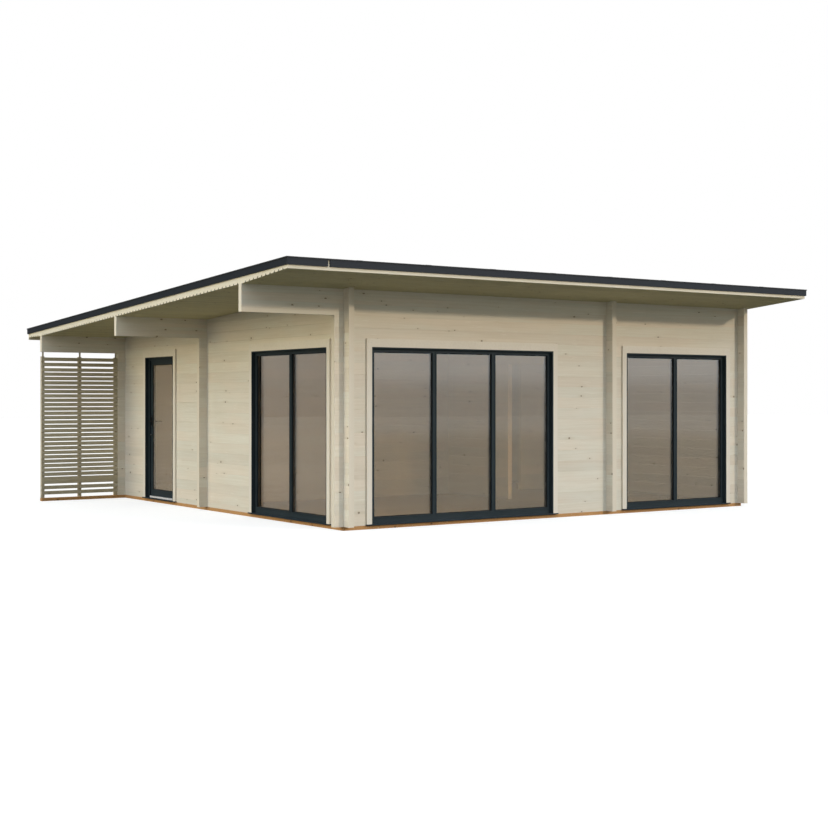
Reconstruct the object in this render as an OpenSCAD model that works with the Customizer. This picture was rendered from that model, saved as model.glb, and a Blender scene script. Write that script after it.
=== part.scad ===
// Garden house of planed logs, with a mono-pitch roof over a side terrace.
// Lengths are in millimetres. +Z is up, +X runs along the front wall, +Y goes to the back.
// Places are set out from the outer corner of the front and left walls. The finished house
// is then moved, so that the origin lies on the ground under the middle of the roof.

/* [Log walls] */
// Outside width of the front wall
house_w = 6620; // [6300:10:7200]
// Outside depth of the side walls
house_d = 6530; // [6300:10:7200]
// Thickness of a wall log
wall_t = 70; // [60:1:80]
// Height of one log course
course_h = 136; // [130:1:142]
// Length of the log ends past a corner
log_end = 122; // [90:1:160]
// Depth of the V joint between two courses
joint_depth = 2; // [1:0.5:5]
// Clearance in the notches of crossing logs and under the roof
log_fit = 0.4; // [0.2:0.1:0.8]

/* [Base and floor] */
// Height of the base beams and floor joists
base_h = 45; // [40:1:60]
// Thickness of the floor boards
floor_t = 28; // [20:1:34]
// Width of a floor joist
joist_w = 45; // [35:1:60]
// Largest spacing of the floor joists
joist_pitch = 600; // [400:10:700]

/* [Rooms] */
// Distance from the back to the partition along the house
long_partition_y = 2947; // [2600:1:3100]
// Place of the partition between the front rooms, as a share of the pier that it stands behind
cross_partition_x = 0.772; // [0.1:0.001:0.9]
// How far the inner doorways end below the top of the glazed units
doorway_h = 131; // [40:1:220]
// Width of the inner doorways
doorway_w = 800; // [700:1:900]
// Distance from the cross partition to the doorway in the long partition
long_doorway_gap = 620; // [400:1:900]
// Distance from the front to the doorway in the cross partition
cross_doorway_y = 1300; // [900:1:1700]

/* [Glazed units] */
// Left edge of the front unit with three lights
wide_unit_x = 377; // [350:1:500]
// Width of the front unit with three lights
wide_unit_w = 2756; // [2500:1:2900]
// Distance from the right side to the front unit with two lights
narrow_unit_x = 322; // [280:1:400]
// Width of the units with two lights
narrow_unit_w = 1896; // [1750:1:1950]
// Distance from the front to the unit in the left wall
side_unit_y = 345; // [320:1:500]
// Height of the frames in sight, from the base beams to the top trim
unit_h = 2091; // [2000:1:2100]
// Width of a frame stile or mullion
stile_w = 58; // [50:1:95]
// Height of a frame's top rail
top_rail_h = 68; // [60:1:95]
// Height of a frame's bottom rail
bottom_rail_h = 73; // [60:1:130]
// Depth of a frame through the wall
frame_d = 62; // [50:1:75]
// Setback of the frames behind the outer wall face
frame_setback = 25; // [20:1:50]
// Thickness of the lining that each frame carries out to the face of the trim
lining_t = 14; // [8:1:20]
// Thickness of the glass units
glass_t = 24; // [16:1:32]
// How far the glass reaches into its frame
glass_hold = 12; // [8:1:18]
// Thickness of the metal sills
sill_t = 14; // [8:1:20]
// How far the sills stand out from the wall
sill_out = 42; // [30:1:60]
// Clearance of frames in the walls and of glass in the frames
frame_fit = 0.4; // [0.2:0.1:0.8]

/* [Trim boards] */
// Width of a side trim board
trim_w = 70; // [55:1:85]
// Height of a top trim board
trim_top_h = 98; // [88:1:115]
// Thickness of the trim boards
trim_t = 25; // [18:1:30]
// How far the frames reach up behind the top trim
trim_lap = 12; // [6:1:16]

/* [Door] */
// Distance from the back to the door opening in the left wall
door_y = 888; // [700:1:1000]
// Width of the door opening
door_w = 990; // [900:1:1050]
// Width of the door frame's face
door_frame_w = 55; // [48:1:65]
// Depth of the stop that the leaf closes against
door_stop_d = 16; // [10:1:20]
// How far the stop covers the edge of the leaf
door_stop_lap = 12; // [8:1:16]
// Thickness of the door leaf
leaf_t = 44; // [40:1:46]
// Width of the leaf's stiles
leaf_stile_w = 85; // [75:1:125]
// Height of the leaf's top rail
leaf_top_h = 78; // [65:1:100]
// Height of the leaf's bottom rail
leaf_bottom_h = 92; // [70:1:130]
// Running gap round the leaf
leaf_gap = 5; // [5:0.5:7]
// Height of the threshold above the floor
threshold_h = 8; // [5:1:14]
// Height of the lever handle above the ground
handle_z = 1190; // [1000:5:1250]
// Length of the lever
lever_l = 140; // [100:1:150]
// Radius of the lever and its neck
lever_r = 9; // [7:0.5:11]
// How far the lever stands off the leaf
lever_out = 46; // [38:1:56]
// Distance from the lever down to the lock
lock_drop = 200; // [150:1:240]
// Radius of the lock's rose
lock_r = 15; // [12:0.5:17]
// How far the lock's rose stands off the leaf
lock_out = 12; // [8:1:16]
// Radius of the hinge barrels
hinge_r = 8; // [7:0.5:10]
// Radius of the hinge pins
hinge_pin_r = 4; // [3:0.5:5]
// Height of a hinge barrel
hinge_h = 90; // [70:1:120]

/* [Roof] */
// Fall of the roof from front to back, in degrees
roof_pitch = 3; // [2:0.1:4]
// Height of the roof's underside at the front wall above the top of the glazed units
roof_under_z = 666; // [640:1:720]
// Thickness of the roof between the front and back walls
roof_t = 160; // [140:1:190]
// Thickness of the thinned front eave
eave_front_t = 124; // [115:1:136]
// Thickness of the thinned back eave
eave_back_t = 137; // [125:1:145]
// Overhang of the roof past the front wall
over_front = 1040; // [900:5:1200]
// Overhang of the roof past the left wall, over the terrace
over_left = 1316; // [1100:1:1500]
// Overhang of the roof past the right wall
over_right = 122; // [122:1:300]
// Overhang of the roof past the back wall
over_back = 490; // [400:5:600]
// Width of a soffit board
soffit_board_w = 95; // [80:1:120]
// Depth of the V joint between soffit boards
soffit_joint = 5; // [3:0.5:8]
// Log courses that the purlins take up
purlin_courses = 2; // [1:1:2]
// Height of the dark fascia below the covering
fascia_h = 73; // [60:1:80]
// Thickness of the fascia
fascia_t = 16; // [10:1:25]
// Distance from the left end of the front fascia to its open joint
fascia_joint_x = 500; // [300:1:900]
// Width of the open joint in the front fascia
fascia_joint_w = 26; // [10:1:30]
// How far the back eave board hangs below the roof
eave_board_drop = 35; // [20:1:50]
// Thickness of the back eave board
eave_board_t = 28; // [20:1:40]
// Thickness of the roof covering
cover_t = 12; // [8:1:16]
// How far the covering stands past the fascia
drip_out = 6; // [3:1:12]

/* [Terrace screen] */
// Width of a screen upright
upright_w = 50; // [40:1:70]
// Depth of a screen upright
upright_d = 40; // [30:1:46]
// Height of a screen slat
slat_h = 52; // [30:1:57]
// Thickness of a screen slat
slat_t = 20; // [14:1:22]
// Spacing of the slats in the close run
slat_pitch = 65; // [60:1:75]
// Wider gap between the lowest slats and between the highest slats
slat_wide_gap = 27; // [20:1:40]
// Gap between the base beam and the lowest slat
slat_start = 51; // [20:1:70]
// Height of the open gap under the back purlin
screen_gap = 66; // [50:1:90]
// Width of the bars that tie the screen to the purlin
tie_w = 25; // [20:1:40]
// Thickness of the tie bars
tie_t = 8; // [5:1:12]

/* [Hidden] */

// Extra length of a cutting shape past the face that it cuts
cut = 5;
// Sides of round parts
round_fn = 48;

log_colour = [0.84, 0.76, 0.62];
trim_colour = [0.86, 0.80, 0.70];
base_colour = [0.62, 0.40, 0.20];
dark_colour = [0.17, 0.19, 0.23];
glass_colour = [0.48, 0.45, 0.38, 0.5];
metal_colour = [0.72, 0.73, 0.74];
slat_colour = [0.64, 0.61, 0.51];

// Courses of walls along X start on the base beams, and those along Y are half a log higher.
x_phase = 0;
y_phase = 0.5;

back_wall_y = house_d - wall_t;
right_wall_x = house_w - wall_t;
side_walls_x = [0, right_wall_x];
long_y = house_d - long_partition_y;
all_x_walls_y = [0, long_y, back_wall_y];

// Openings in the front and left walls, from one edge to the other
wide_opening = [wide_unit_x, wide_unit_x + wide_unit_w];
narrow_opening = [house_w - narrow_unit_x - narrow_unit_w, house_w - narrow_unit_x];
side_opening = [side_unit_y, side_unit_y + narrow_unit_w];
door_opening = [house_d - door_y - door_w, house_d - door_y];
cross_x = wide_opening[1] + cross_partition_x * (narrow_opening[0] - wide_opening[1] - wall_t);

frame_top_z = base_h + unit_h + trim_lap;
trim_under_z = base_h + unit_h;
trim_top_z = trim_under_z + trim_top_h;
sill_top_z = base_h + sill_t;
floor_z = base_h + floor_t;

// The lowest course joint of a wall that is at or above a given height
function joint_above(z, phase) = base_h + (ceil((z - base_h) / course_h - phase) + phase) * course_h;
front_header_z = joint_above(frame_top_z, x_phase);
left_header_z = joint_above(frame_top_z, y_phase);
doorway_top_z = trim_under_z - doorway_h;
long_header_z = joint_above(doorway_top_z, x_phase);
cross_header_z = joint_above(doorway_top_z, y_phase);

long_doorway_x = cross_x + long_doorway_gap;

// The roof falls to the back between the walls, and both eaves are thinned from below.
front_eave_y = -over_front;
back_eave_y = house_d + over_back;
left_verge_x = -over_left;
right_verge_x = house_w + over_right;
fall = tan(roof_pitch);
function roof_under(y) = trim_under_z + roof_under_z - y * fall;
function roof_top(y) = roof_under(y) + roof_t;
front_eave_under_z = roof_top(front_eave_y) - eave_front_t;
back_eave_under_z = roof_top(back_eave_y) - eave_back_t;
under_line = [
    [front_eave_y, front_eave_under_z], [0, roof_under(0)],
    [house_d, roof_under(house_d)], [back_eave_y, back_eave_under_z]];

// Each purlin starts at the course joint nearest to its depth below the roof.
function purlin_z(y) = base_h + round((roof_under(y) - base_h) / course_h - purlin_courses) * course_h;

cover_left_x = left_verge_x - fascia_t - drip_out;
cover_right_x = right_verge_x + fascia_t + drip_out;
cover_front_y = front_eave_y - fascia_t - drip_out;
cover_back_y = back_eave_y + eave_board_t + fascia_t + drip_out;
centre_x = (cover_left_x + cover_right_x) / 2;
centre_y = (cover_front_y + cover_back_y) / 2;

// Edges of the glazed units inside their wall openings
edge_fit = [frame_fit, -frame_fit];
wide_edges = wide_opening + edge_fit;
narrow_edges = narrow_opening + edge_fit;
side_edges = side_opening + edge_fit;
wide_lights = 3;
narrow_lights = 2;
glass_in = frame_setback + (frame_d - glass_t) / 2;

// The door frame is an outer stop with a rebate behind it for the leaf.
door_edges = door_opening + edge_fit;
door_stop_x = frame_setback + door_stop_d;
leaf_x = door_stop_x + leaf_gap;
leaf_in_x = leaf_x + leaf_t;
jamb_w = door_frame_w - door_stop_lap - leaf_gap;
leaf_y = [door_edges[0] + jamb_w + leaf_gap, door_edges[1] - jamb_w - leaf_gap];
threshold_z = floor_z + threshold_h;
leaf_z = [threshold_z + leaf_gap, frame_top_z - jamb_w - leaf_gap];
leaf_glass_x = leaf_x + (leaf_t - glass_t) / 2;

// The hinge line stands off the room face of the leaf, over the gap beside its edge.
hinge_plate_t = 3;
hinge_plate_w = 34;
hinge_lift = 1;
hinge_x = leaf_in_x + hinge_r + hinge_lift;
hinge_y = leaf_y[0] - leaf_gap / 2;
hinge_count = 3;
hinge_margin = 220;
hinge_pin_fit = 0.05;
hinge_end_gap = 0.3;
rose_w = 34;
rose_h = 170;
rose_t = 8;

// Extrudes an outline given in Y and Z along X.
module along_x(x0, x1) {
    translate([x0, 0, 0])
        rotate([90, 0, 90])
            linear_extrude(x1 - x0)
                children();
}

// Extrudes an outline given in X and Z along Y.
module along_y(y0, y1) {
    translate([0, y1, 0])
        rotate([90, 0, 0])
            linear_extrude(y1 - y0)
                children();
}

// A box from its lowest to its highest corner
module block(low, high) {
    translate(low)
        cube(high - low);
}

// A rectangle from its lowest to its highest corner
module panel(low, high) {
    translate(low)
        square(high - low);
}

// Moves the house from its corner to the middle of the roof.
module on_site() {
    translate([-centre_x, -centre_y, 0])
        children();
}

function joint_levels(z0, z1, phase) = [
    for (k = [0 : ceil((z1 - base_h) / course_h)])
        let (z = base_h + (k + phase) * course_h)
            if (z > z0 + joint_depth && z < z1 - joint_depth) z];

// Section of stacked logs, with a V joint on both faces between courses
module log_section(face, z0, z1, phase) {
    levels = joint_levels(z0, z1, phase);
    last = len(levels) - 1;
    outer = [for (z = levels) each
        [[face, z - joint_depth], [face + joint_depth, z], [face, z + joint_depth]]];
    far = face + wall_t;
    inner = [for (i = [last : -1 : 0]) each
        [[far, levels[i] + joint_depth], [far - joint_depth, levels[i]], [far, levels[i] - joint_depth]]];
    polygon(concat([[face, z0]], outer, [[face, z1], [far, z1]], inner, [[far, z0]]));
}

// Numbers of the courses that touch a stretch of wall
function courses(z0, z1) = [
    for (k = [floor((z0 - base_h) / course_h) - 1 : ceil((z1 - base_h) / course_h)]) k];

// Notches in a wall along X for the logs of crossing walls along Y
module seats_for_y_logs(y0, z0, z1, crossings) {
    for (x = crossings, k = courses(z0, z1)) {
        z = base_h + (k + 0.75) * course_h - log_fit / 2;
        if (z < z1 && z + course_h / 2 > z0)
            translate([x - log_fit, y0 - cut, z])
                cube([wall_t + 2 * log_fit, wall_t + 2 * cut, course_h / 2 + log_fit]);
    }
}

// Notches in a wall along Y for the logs of crossing walls along X
module seats_for_x_logs(x0, z0, z1, crossings) {
    for (y = crossings, k = courses(z0, z1)) {
        z = base_h + (k + 0.25) * course_h - log_fit / 2;
        if (z < z1 && z + course_h / 2 > z0)
            translate([x0 - cut, y - log_fit, z])
                cube([wall_t + 2 * cut, wall_t + 2 * log_fit, course_h / 2 + log_fit]);
    }
}

// A stretch of log wall along X, notched where other walls cross it
module x_logs(x0, x1, y0, z0, z1, crossings) {
    difference() {
        along_x(x0, x1)
            log_section(y0, z0, z1, x_phase);
        seats_for_y_logs(y0, z0, z1, crossings);
    }
}

// A stretch of log wall along Y, notched where other walls cross it
module y_logs(y0, y1, x0, z0, z1, crossings) {
    difference() {
        along_y(y0, y1)
            log_section(x0, z0, z1, y_phase);
        seats_for_x_logs(x0, z0, z1, crossings);
    }
}

// The space under the roof, which cuts the tops of walls and purlins
module under_roof() {
    along_x(left_verge_x - cut, right_verge_x + cut)
        polygon(concat(
            [[front_eave_y, 0]],
            [for (p = under_line) p - [0, log_fit]],
            [[back_eave_y, 0]]));
}

// A laminated purlin over a wall along X, which runs out over the terrace
module purlin(y0, crossings) {
    z0 = purlin_z(y0);
    intersection() {
        under_roof();
        difference() {
            block([left_verge_x, y0, z0], [house_w + log_end, y0 + wall_t, roof_top(y0)]);
            seats_for_y_logs(y0, z0, roof_top(y0), crossings);
        }
    }
}

function light_w(edges, lights) = (edges[1] - edges[0] - (lights + 1) * stile_w) / lights;

// Outlines of a unit's lights, grown on each side
module light_faces(edges, lights, grow) {
    w = light_w(edges, lights);
    for (i = [0 : lights - 1]) {
        a = edges[0] + stile_w + i * (w + stile_w);
        panel([a - grow, sill_top_z + bottom_rail_h - grow], [a + w + grow, frame_top_z - top_rail_h + grow]);
    }
}

// Face of a window frame with its stiles, mullions and rails
module frame_face(edges, lights) {
    difference() {
        panel([edges[0], sill_top_z], [edges[1], frame_top_z]);
        light_faces(edges, lights, 0);
    }
}

// Lining round an opening, open at the sill
module lining_face(edges) {
    top_z = trim_under_z - frame_fit;
    difference() {
        panel([edges[0], sill_top_z], [edges[1], top_z]);
        panel([edges[0] + lining_t, sill_top_z - cut], [edges[1] - lining_t, top_z - lining_t]);
    }
}

// A window frame in a wall along X, grooved for its glass, with its lining
module front_window_frame(edges, lights) {
    along_y(-trim_t, frame_setback + cut)
        lining_face(edges);
    difference() {
        along_y(frame_setback, frame_setback + frame_d)
            frame_face(edges, lights);
        along_y(glass_in - frame_fit, glass_in + glass_t + frame_fit)
            light_faces(edges, lights, glass_hold + frame_fit);
    }
}

// Side and top trim boards round an opening, seen from the front of the wall
module trim_faces(edges, foot_z, top_under_z) {
    for (a = [edges[0] - frame_fit - trim_w, edges[1] + frame_fit])
        panel([a, foot_z], [a + trim_w, top_under_z - frame_fit]);
    panel([edges[0] - frame_fit - trim_w, top_under_z], [edges[1] + frame_fit + trim_w, trim_top_z]);
}

module front_unit_trim(edges) {
    along_y(-trim_t, 0)
        trim_faces(edges, sill_top_z, trim_under_z);
    along_y(wall_t, wall_t + trim_t)
        trim_faces(edges, floor_z, frame_top_z + frame_fit);
}

module left_opening_trim(edges) {
    along_x(-trim_t, 0)
        trim_faces(edges, sill_top_z, trim_under_z);
    along_x(wall_t, wall_t + trim_t)
        trim_faces(edges, floor_z, frame_top_z + frame_fit);
}

// Points of a V-jointed row of boards from one point to another, without the last point
function board_line(p, q) =
    let (count = round(norm(q - p) / soffit_board_w), step = (q - p) / count, run = step / norm(step))
        [for (i = [0 : count - 1]) each i == 0 ? [p] :
            [p + i * step - run * soffit_joint,
             p + i * step + [0, soffit_joint],
             p + i * step + run * soffit_joint]];

// Base beams and floor

module base_front() {
    color(base_colour) on_site()
        block([0, 0, 0], [house_w, wall_t, base_h]);
}

module base_back() {
    color(base_colour) on_site()
        block([left_verge_x, back_wall_y, 0], [house_w, house_d, base_h]);
}

module base_left() {
    color(base_colour) on_site()
        block([0, wall_t, 0], [wall_t, back_wall_y, base_h]);
}

module base_right() {
    color(base_colour) on_site()
        block([right_wall_x, wall_t, 0], [house_w, back_wall_y, base_h]);
}

module base_inner() {
    color(base_colour) on_site() {
        block([wall_t, long_y, 0], [right_wall_x, long_y + wall_t, base_h]);
        block([cross_x, wall_t, 0], [cross_x + wall_t, long_y, base_h]);
    }
}

// Rooms as their lowest and highest plan corners, clear of the walls
rooms = [
    [[wall_t, wall_t], [cross_x, long_y]],
    [[cross_x + wall_t, wall_t], [right_wall_x, long_y]],
    [[wall_t, long_y + wall_t], [right_wall_x, back_wall_y]]];
room_fit = [log_fit, log_fit];

module floor_joists() {
    color(base_colour) on_site()
        for (room = rooms) {
            depth = room[1][1] - room[0][1];
            count = ceil(depth / joist_pitch) - 1;
            for (i = [1 : count]) {
                y = room[0][1] + i * depth / (count + 1) - joist_w / 2;
                block([room[0][0] + log_fit, y, 0], [room[1][0] - log_fit, y + joist_w, base_h]);
            }
        }
}

// Floor of the three rooms, which runs on through the inner doorways
module floor_plan() {
    for (room = rooms)
        panel(room[0] + room_fit, room[1] - room_fit);
    panel([long_doorway_x + log_fit, long_y - cut],
          [long_doorway_x + doorway_w - log_fit, long_y + wall_t + cut]);
    panel([cross_x - cut, cross_doorway_y + log_fit],
          [cross_x + wall_t + cut, cross_doorway_y + doorway_w - log_fit]);
}

// Plan of the frames and log ends that reach into the rooms
module floor_cutouts() {
    frame_in = frame_setback + frame_d + frame_fit;
    for (edges = [wide_edges, narrow_edges])
        panel([edges[0] - frame_fit, 0], [edges[1] + frame_fit, frame_in]);
    panel([0, side_edges[0] - frame_fit], [frame_in, side_edges[1] + frame_fit]);
    panel([0, door_edges[0] - frame_fit], [leaf_in_x + frame_fit, door_edges[1] + frame_fit]);
    panel([cross_x - log_fit, long_y],
          [cross_x + wall_t + log_fit, long_y + wall_t + log_end + log_fit]);
}

module floor_boards() {
    color(log_colour) on_site()
        translate([0, 0, base_h])
            linear_extrude(floor_t)
                difference() {
                    floor_plan();
                    floor_cutouts();
                }
}

// Front wall

module front_left_pier() {
    color(log_colour) on_site()
        x_logs(-log_end, wide_opening[0], 0, base_h, front_header_z, [0]);
}

module front_middle_pier() {
    color(log_colour) on_site()
        x_logs(wide_opening[1], narrow_opening[0], 0, base_h, front_header_z, [cross_x]);
}

module front_right_pier() {
    color(log_colour) on_site()
        x_logs(narrow_opening[1], house_w + log_end, 0, base_h, front_header_z, [right_wall_x]);
}

module front_header() {
    color(log_colour) on_site()
        x_logs(-log_end, house_w + log_end, 0, front_header_z, purlin_z(0),
               [0, cross_x, right_wall_x]);
}

module front_purlin() {
    color(log_colour) on_site()
        purlin(0, [0, cross_x, right_wall_x]);
}

// Left wall

module left_front_pier() {
    color(log_colour) on_site()
        y_logs(-log_end, side_opening[0], 0, base_h, left_header_z, [0]);
}

module left_middle_pier() {
    color(log_colour) on_site()
        y_logs(side_opening[1], door_opening[0], 0, base_h, left_header_z, [long_y]);
}

module left_back_pier() {
    color(log_colour) on_site()
        y_logs(door_opening[1], house_d + log_end, 0, base_h, left_header_z, [back_wall_y]);
}

module left_header() {
    color(log_colour) on_site()
        intersection() {
            under_roof();
            y_logs(-log_end, house_d + log_end, 0, left_header_z, roof_top(0), all_x_walls_y);
        }
}

// Right wall and back wall

module right_wall() {
    color(log_colour) on_site()
        intersection() {
            under_roof();
            y_logs(-log_end, house_d + log_end, right_wall_x, base_h, roof_top(0), all_x_walls_y);
        }
}

module back_wall() {
    color(log_colour) on_site()
        x_logs(-log_end, house_w + log_end, back_wall_y, base_h, purlin_z(back_wall_y), side_walls_x);
}

module back_purlin() {
    color(log_colour) on_site()
        purlin(back_wall_y, side_walls_x);
}

// Partitions

module long_partition_left() {
    color(log_colour) on_site()
        x_logs(-log_end, long_doorway_x, long_y, base_h, long_header_z, [0, cross_x]);
}

module long_partition_right() {
    color(log_colour) on_site()
        x_logs(long_doorway_x + doorway_w, house_w + log_end, long_y, base_h, long_header_z,
               [right_wall_x]);
}

module long_partition_header() {
    color(log_colour) on_site()
        x_logs(-log_end, house_w + log_end, long_y, long_header_z, purlin_z(long_y),
               [0, cross_x, right_wall_x]);
}

module middle_purlin() {
    color(log_colour) on_site()
        purlin(long_y, [0, cross_x, right_wall_x]);
}

module cross_partition_front() {
    color(log_colour) on_site()
        y_logs(-log_end, cross_doorway_y, cross_x, base_h, cross_header_z, [0]);
}

module cross_partition_back() {
    color(log_colour) on_site()
        y_logs(cross_doorway_y + doorway_w, long_y + wall_t + log_end, cross_x,
               base_h, cross_header_z, [long_y]);
}

module cross_partition_header() {
    color(log_colour) on_site()
        intersection() {
            under_roof();
            y_logs(-log_end, long_y + wall_t + log_end, cross_x, cross_header_z,
                   roof_top(0), [0, long_y]);
        }
}

// Glazed units

module front_wide_frame() {
    color(dark_colour) on_site()
        front_window_frame(wide_edges, wide_lights);
}

module front_narrow_frame() {
    color(dark_colour) on_site()
        front_window_frame(narrow_edges, narrow_lights);
}

module left_frame() {
    color(dark_colour) on_site() {
        along_x(-trim_t, frame_setback + cut)
            lining_face(side_edges);
        difference() {
            along_x(frame_setback, frame_setback + frame_d)
                frame_face(side_edges, narrow_lights);
            along_x(glass_in - frame_fit, glass_in + glass_t + frame_fit)
                light_faces(side_edges, narrow_lights, glass_hold + frame_fit);
        }
    }
}

module window_glass() {
    color(glass_colour) on_site() {
        along_y(glass_in, glass_in + glass_t) {
            light_faces(wide_edges, wide_lights, glass_hold);
            light_faces(narrow_edges, narrow_lights, glass_hold);
        }
        along_x(glass_in, glass_in + glass_t)
            light_faces(side_edges, narrow_lights, glass_hold);
    }
}

// A sill in the left wall, from its nose to a line inside the opening
module left_sill(edges, back_x) {
    block([-cut, edges[0], base_h], [back_x, edges[1], sill_top_z]);
    block([-sill_out, edges[0] - trim_w, base_h], [-frame_fit, edges[1] + trim_w, sill_top_z]);
}

// Each sill lies on the base beam under its unit, and its nose runs on under the side trim.
// The one before the door ends at the door frame.
module window_sills() {
    color(dark_colour) on_site() {
        for (edges = [wide_edges, narrow_edges]) {
            block([edges[0], -cut, base_h], [edges[1], frame_setback + frame_d, sill_top_z]);
            block([edges[0] - trim_w, -sill_out, base_h], [edges[1] + trim_w, -frame_fit, sill_top_z]);
        }
        left_sill(side_edges, frame_setback + frame_d);
        left_sill(door_edges, frame_setback - frame_fit);
    }
}

module window_trim() {
    color(trim_colour) on_site() {
        front_unit_trim(wide_edges);
        front_unit_trim(narrow_edges);
        left_opening_trim(side_edges);
    }
}

// Door

module door_frame() {
    color(dark_colour) on_site() {
        along_x(-trim_t, frame_setback + cut)
            lining_face(door_edges);
        along_x(frame_setback, door_stop_x)
            difference() {
                panel([door_edges[0], base_h], [door_edges[1], frame_top_z]);
                panel([door_edges[0] + door_frame_w, base_h - cut],
                      [door_edges[1] - door_frame_w, frame_top_z - door_frame_w]);
            }
        along_x(door_stop_x, leaf_in_x)
            difference() {
                panel([door_edges[0], base_h], [door_edges[1], frame_top_z]);
                panel([door_edges[0] + jamb_w, base_h - cut],
                      [door_edges[1] - jamb_w, frame_top_z - jamb_w]);
            }
    }
}

module door_threshold() {
    color(metal_colour) on_site() {
        block([frame_setback, door_edges[0] + door_frame_w + frame_fit, base_h],
              [door_stop_x, door_edges[1] - door_frame_w - frame_fit, threshold_z]);
        block([door_stop_x, door_edges[0] + jamb_w + frame_fit, base_h],
              [leaf_in_x, door_edges[1] - jamb_w - frame_fit, threshold_z]);
    }
}

module door_trim() {
    color(trim_colour) on_site()
        left_opening_trim(door_edges);
}

// Opening of the leaf's glass, grown on each side
module leaf_light(grow) {
    panel([leaf_y[0] + leaf_stile_w - grow, leaf_z[0] + leaf_bottom_h - grow],
          [leaf_y[1] - leaf_stile_w + grow, leaf_z[1] - leaf_top_h + grow]);
}

module door_leaf() {
    color(dark_colour) on_site()
        difference() {
            along_x(leaf_x, leaf_in_x)
                difference() {
                    panel([leaf_y[0], leaf_z[0]], [leaf_y[1], leaf_z[1]]);
                    leaf_light(0);
                }
            along_x(leaf_glass_x - frame_fit, leaf_glass_x + glass_t + frame_fit)
                leaf_light(glass_hold + frame_fit);
        }
}

module door_glass() {
    color(glass_colour) on_site()
        along_x(leaf_glass_x, leaf_glass_x + glass_t)
            leaf_light(glass_hold);
}

// A plate with a neck and a lever on one face of the leaf, pointing to the hinge side, and a lock below
module lever_set(face_x, side) {
    y = leaf_y[1] - leaf_stile_w / 2;
    plate = [face_x, face_x + side * rose_t];
    block([min(plate), y - rose_w / 2, handle_z - rose_h / 2],
          [max(plate), y + rose_w / 2, handle_z + rose_h / 2]);
    translate([face_x + side * rose_t, y, handle_z])
        rotate([0, side * 90, 0])
            cylinder(h = lever_out - rose_t, r = lever_r, $fn = round_fn);
    translate([face_x + side * lever_out, y, handle_z]) {
        sphere(r = lever_r, $fn = round_fn);
        rotate([90, 0, 0])
            cylinder(h = lever_l, r = lever_r, $fn = round_fn);
    }
    translate([face_x + side * lever_out, y - lever_l, handle_z])
        sphere(r = lever_r, $fn = round_fn);
    translate([face_x, y, handle_z - lock_drop])
        rotate([0, side * 90, 0])
            cylinder(h = lock_out, r = lock_r, $fn = round_fn);
}

module door_handle() {
    color(dark_colour) on_site() {
        lever_set(leaf_x, -1);
        lever_set(leaf_in_x, 1);
    }
}

// Heights of the hinges on the leaf
hinge_levels = [for (i = [0 : hinge_count - 1])
    leaf_z[0] + hinge_margin + i * (leaf_z[1] - leaf_z[0] - 2 * hinge_margin) / (hinge_count - 1)];

// Lower half of each hinge, screwed to the frame, with the pin that the leaf hangs on
module door_hinge_pins() {
    color(metal_colour) on_site()
        for (z = hinge_levels) {
            translate([hinge_x, hinge_y, z - hinge_h / 2])
                cylinder(h = hinge_h / 2, r = hinge_r, $fn = round_fn);
            translate([hinge_x, hinge_y, z])
                cylinder(h = hinge_h / 2, r = hinge_pin_r, $fn = round_fn);
            block([leaf_in_x, hinge_y - hinge_plate_w, z - hinge_h / 2],
                  [leaf_in_x + hinge_plate_t, hinge_y - leaf_gap / 2, z]);
            block([leaf_in_x + hinge_lift, hinge_y - hinge_r, z - hinge_h / 2],
                  [hinge_x, hinge_y - leaf_gap / 2, z]);
        }
}

// Upper half of each hinge, screwed to the leaf and turning on the pin
module door_hinge_barrels() {
    color(metal_colour) on_site()
        for (z = hinge_levels)
            difference() {
                union() {
                    translate([hinge_x, hinge_y, z + hinge_end_gap])
                        cylinder(h = hinge_h / 2 - hinge_end_gap, r = hinge_r, $fn = round_fn);
                    block([leaf_in_x, hinge_y + leaf_gap / 2, z + hinge_end_gap],
                          [leaf_in_x + hinge_plate_t, hinge_y + hinge_plate_w, z + hinge_h / 2]);
                    block([leaf_in_x + hinge_lift, hinge_y + leaf_gap / 2, z + hinge_end_gap],
                          [hinge_x, hinge_y + hinge_r, z + hinge_h / 2]);
                }
                translate([hinge_x, hinge_y, z])
                    cylinder(h = hinge_h, r = hinge_pin_r + hinge_pin_fit, $fn = round_fn);
            }
}

// Roof

module roof_deck() {
    color(log_colour) on_site()
        along_x(left_verge_x, right_verge_x)
            polygon(concat(
                [for (i = [0 : len(under_line) - 2]) each board_line(under_line[i], under_line[i + 1])],
                [under_line[len(under_line) - 1]],
                [for (y = [back_eave_y, front_eave_y]) [y, roof_top(y) - cover_t]]));
}

// A strip under the roof's top face, from one height below the top to another
module top_strip(y0, y1, z0, z1) {
    polygon([for (p = [[y0, z0], [y1, z0], [y1, z1], [y0, z1]]) [p[0], roof_top(p[0]) - p[1]]]);
}

module roof_covering() {
    color(dark_colour) on_site()
        along_x(cover_left_x, cover_right_x)
            top_strip(cover_front_y, cover_back_y, cover_t, 0);
}

module fascia_face(y0, y1) {
    top_strip(y0, y1, cover_t + fascia_h, cover_t);
}

// Two lengths with an open joint between them
module front_fascia() {
    color(dark_colour) on_site() {
        start = left_verge_x - fascia_t;
        along_x(start, start + fascia_joint_x)
            fascia_face(front_eave_y - fascia_t, front_eave_y);
        along_x(start + fascia_joint_x + fascia_joint_w, right_verge_x + fascia_t)
            fascia_face(front_eave_y - fascia_t, front_eave_y);
    }
}

module left_fascia() {
    color(dark_colour) on_site()
        along_x(left_verge_x - fascia_t, left_verge_x)
            fascia_face(front_eave_y, back_eave_y + eave_board_t);
}

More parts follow.
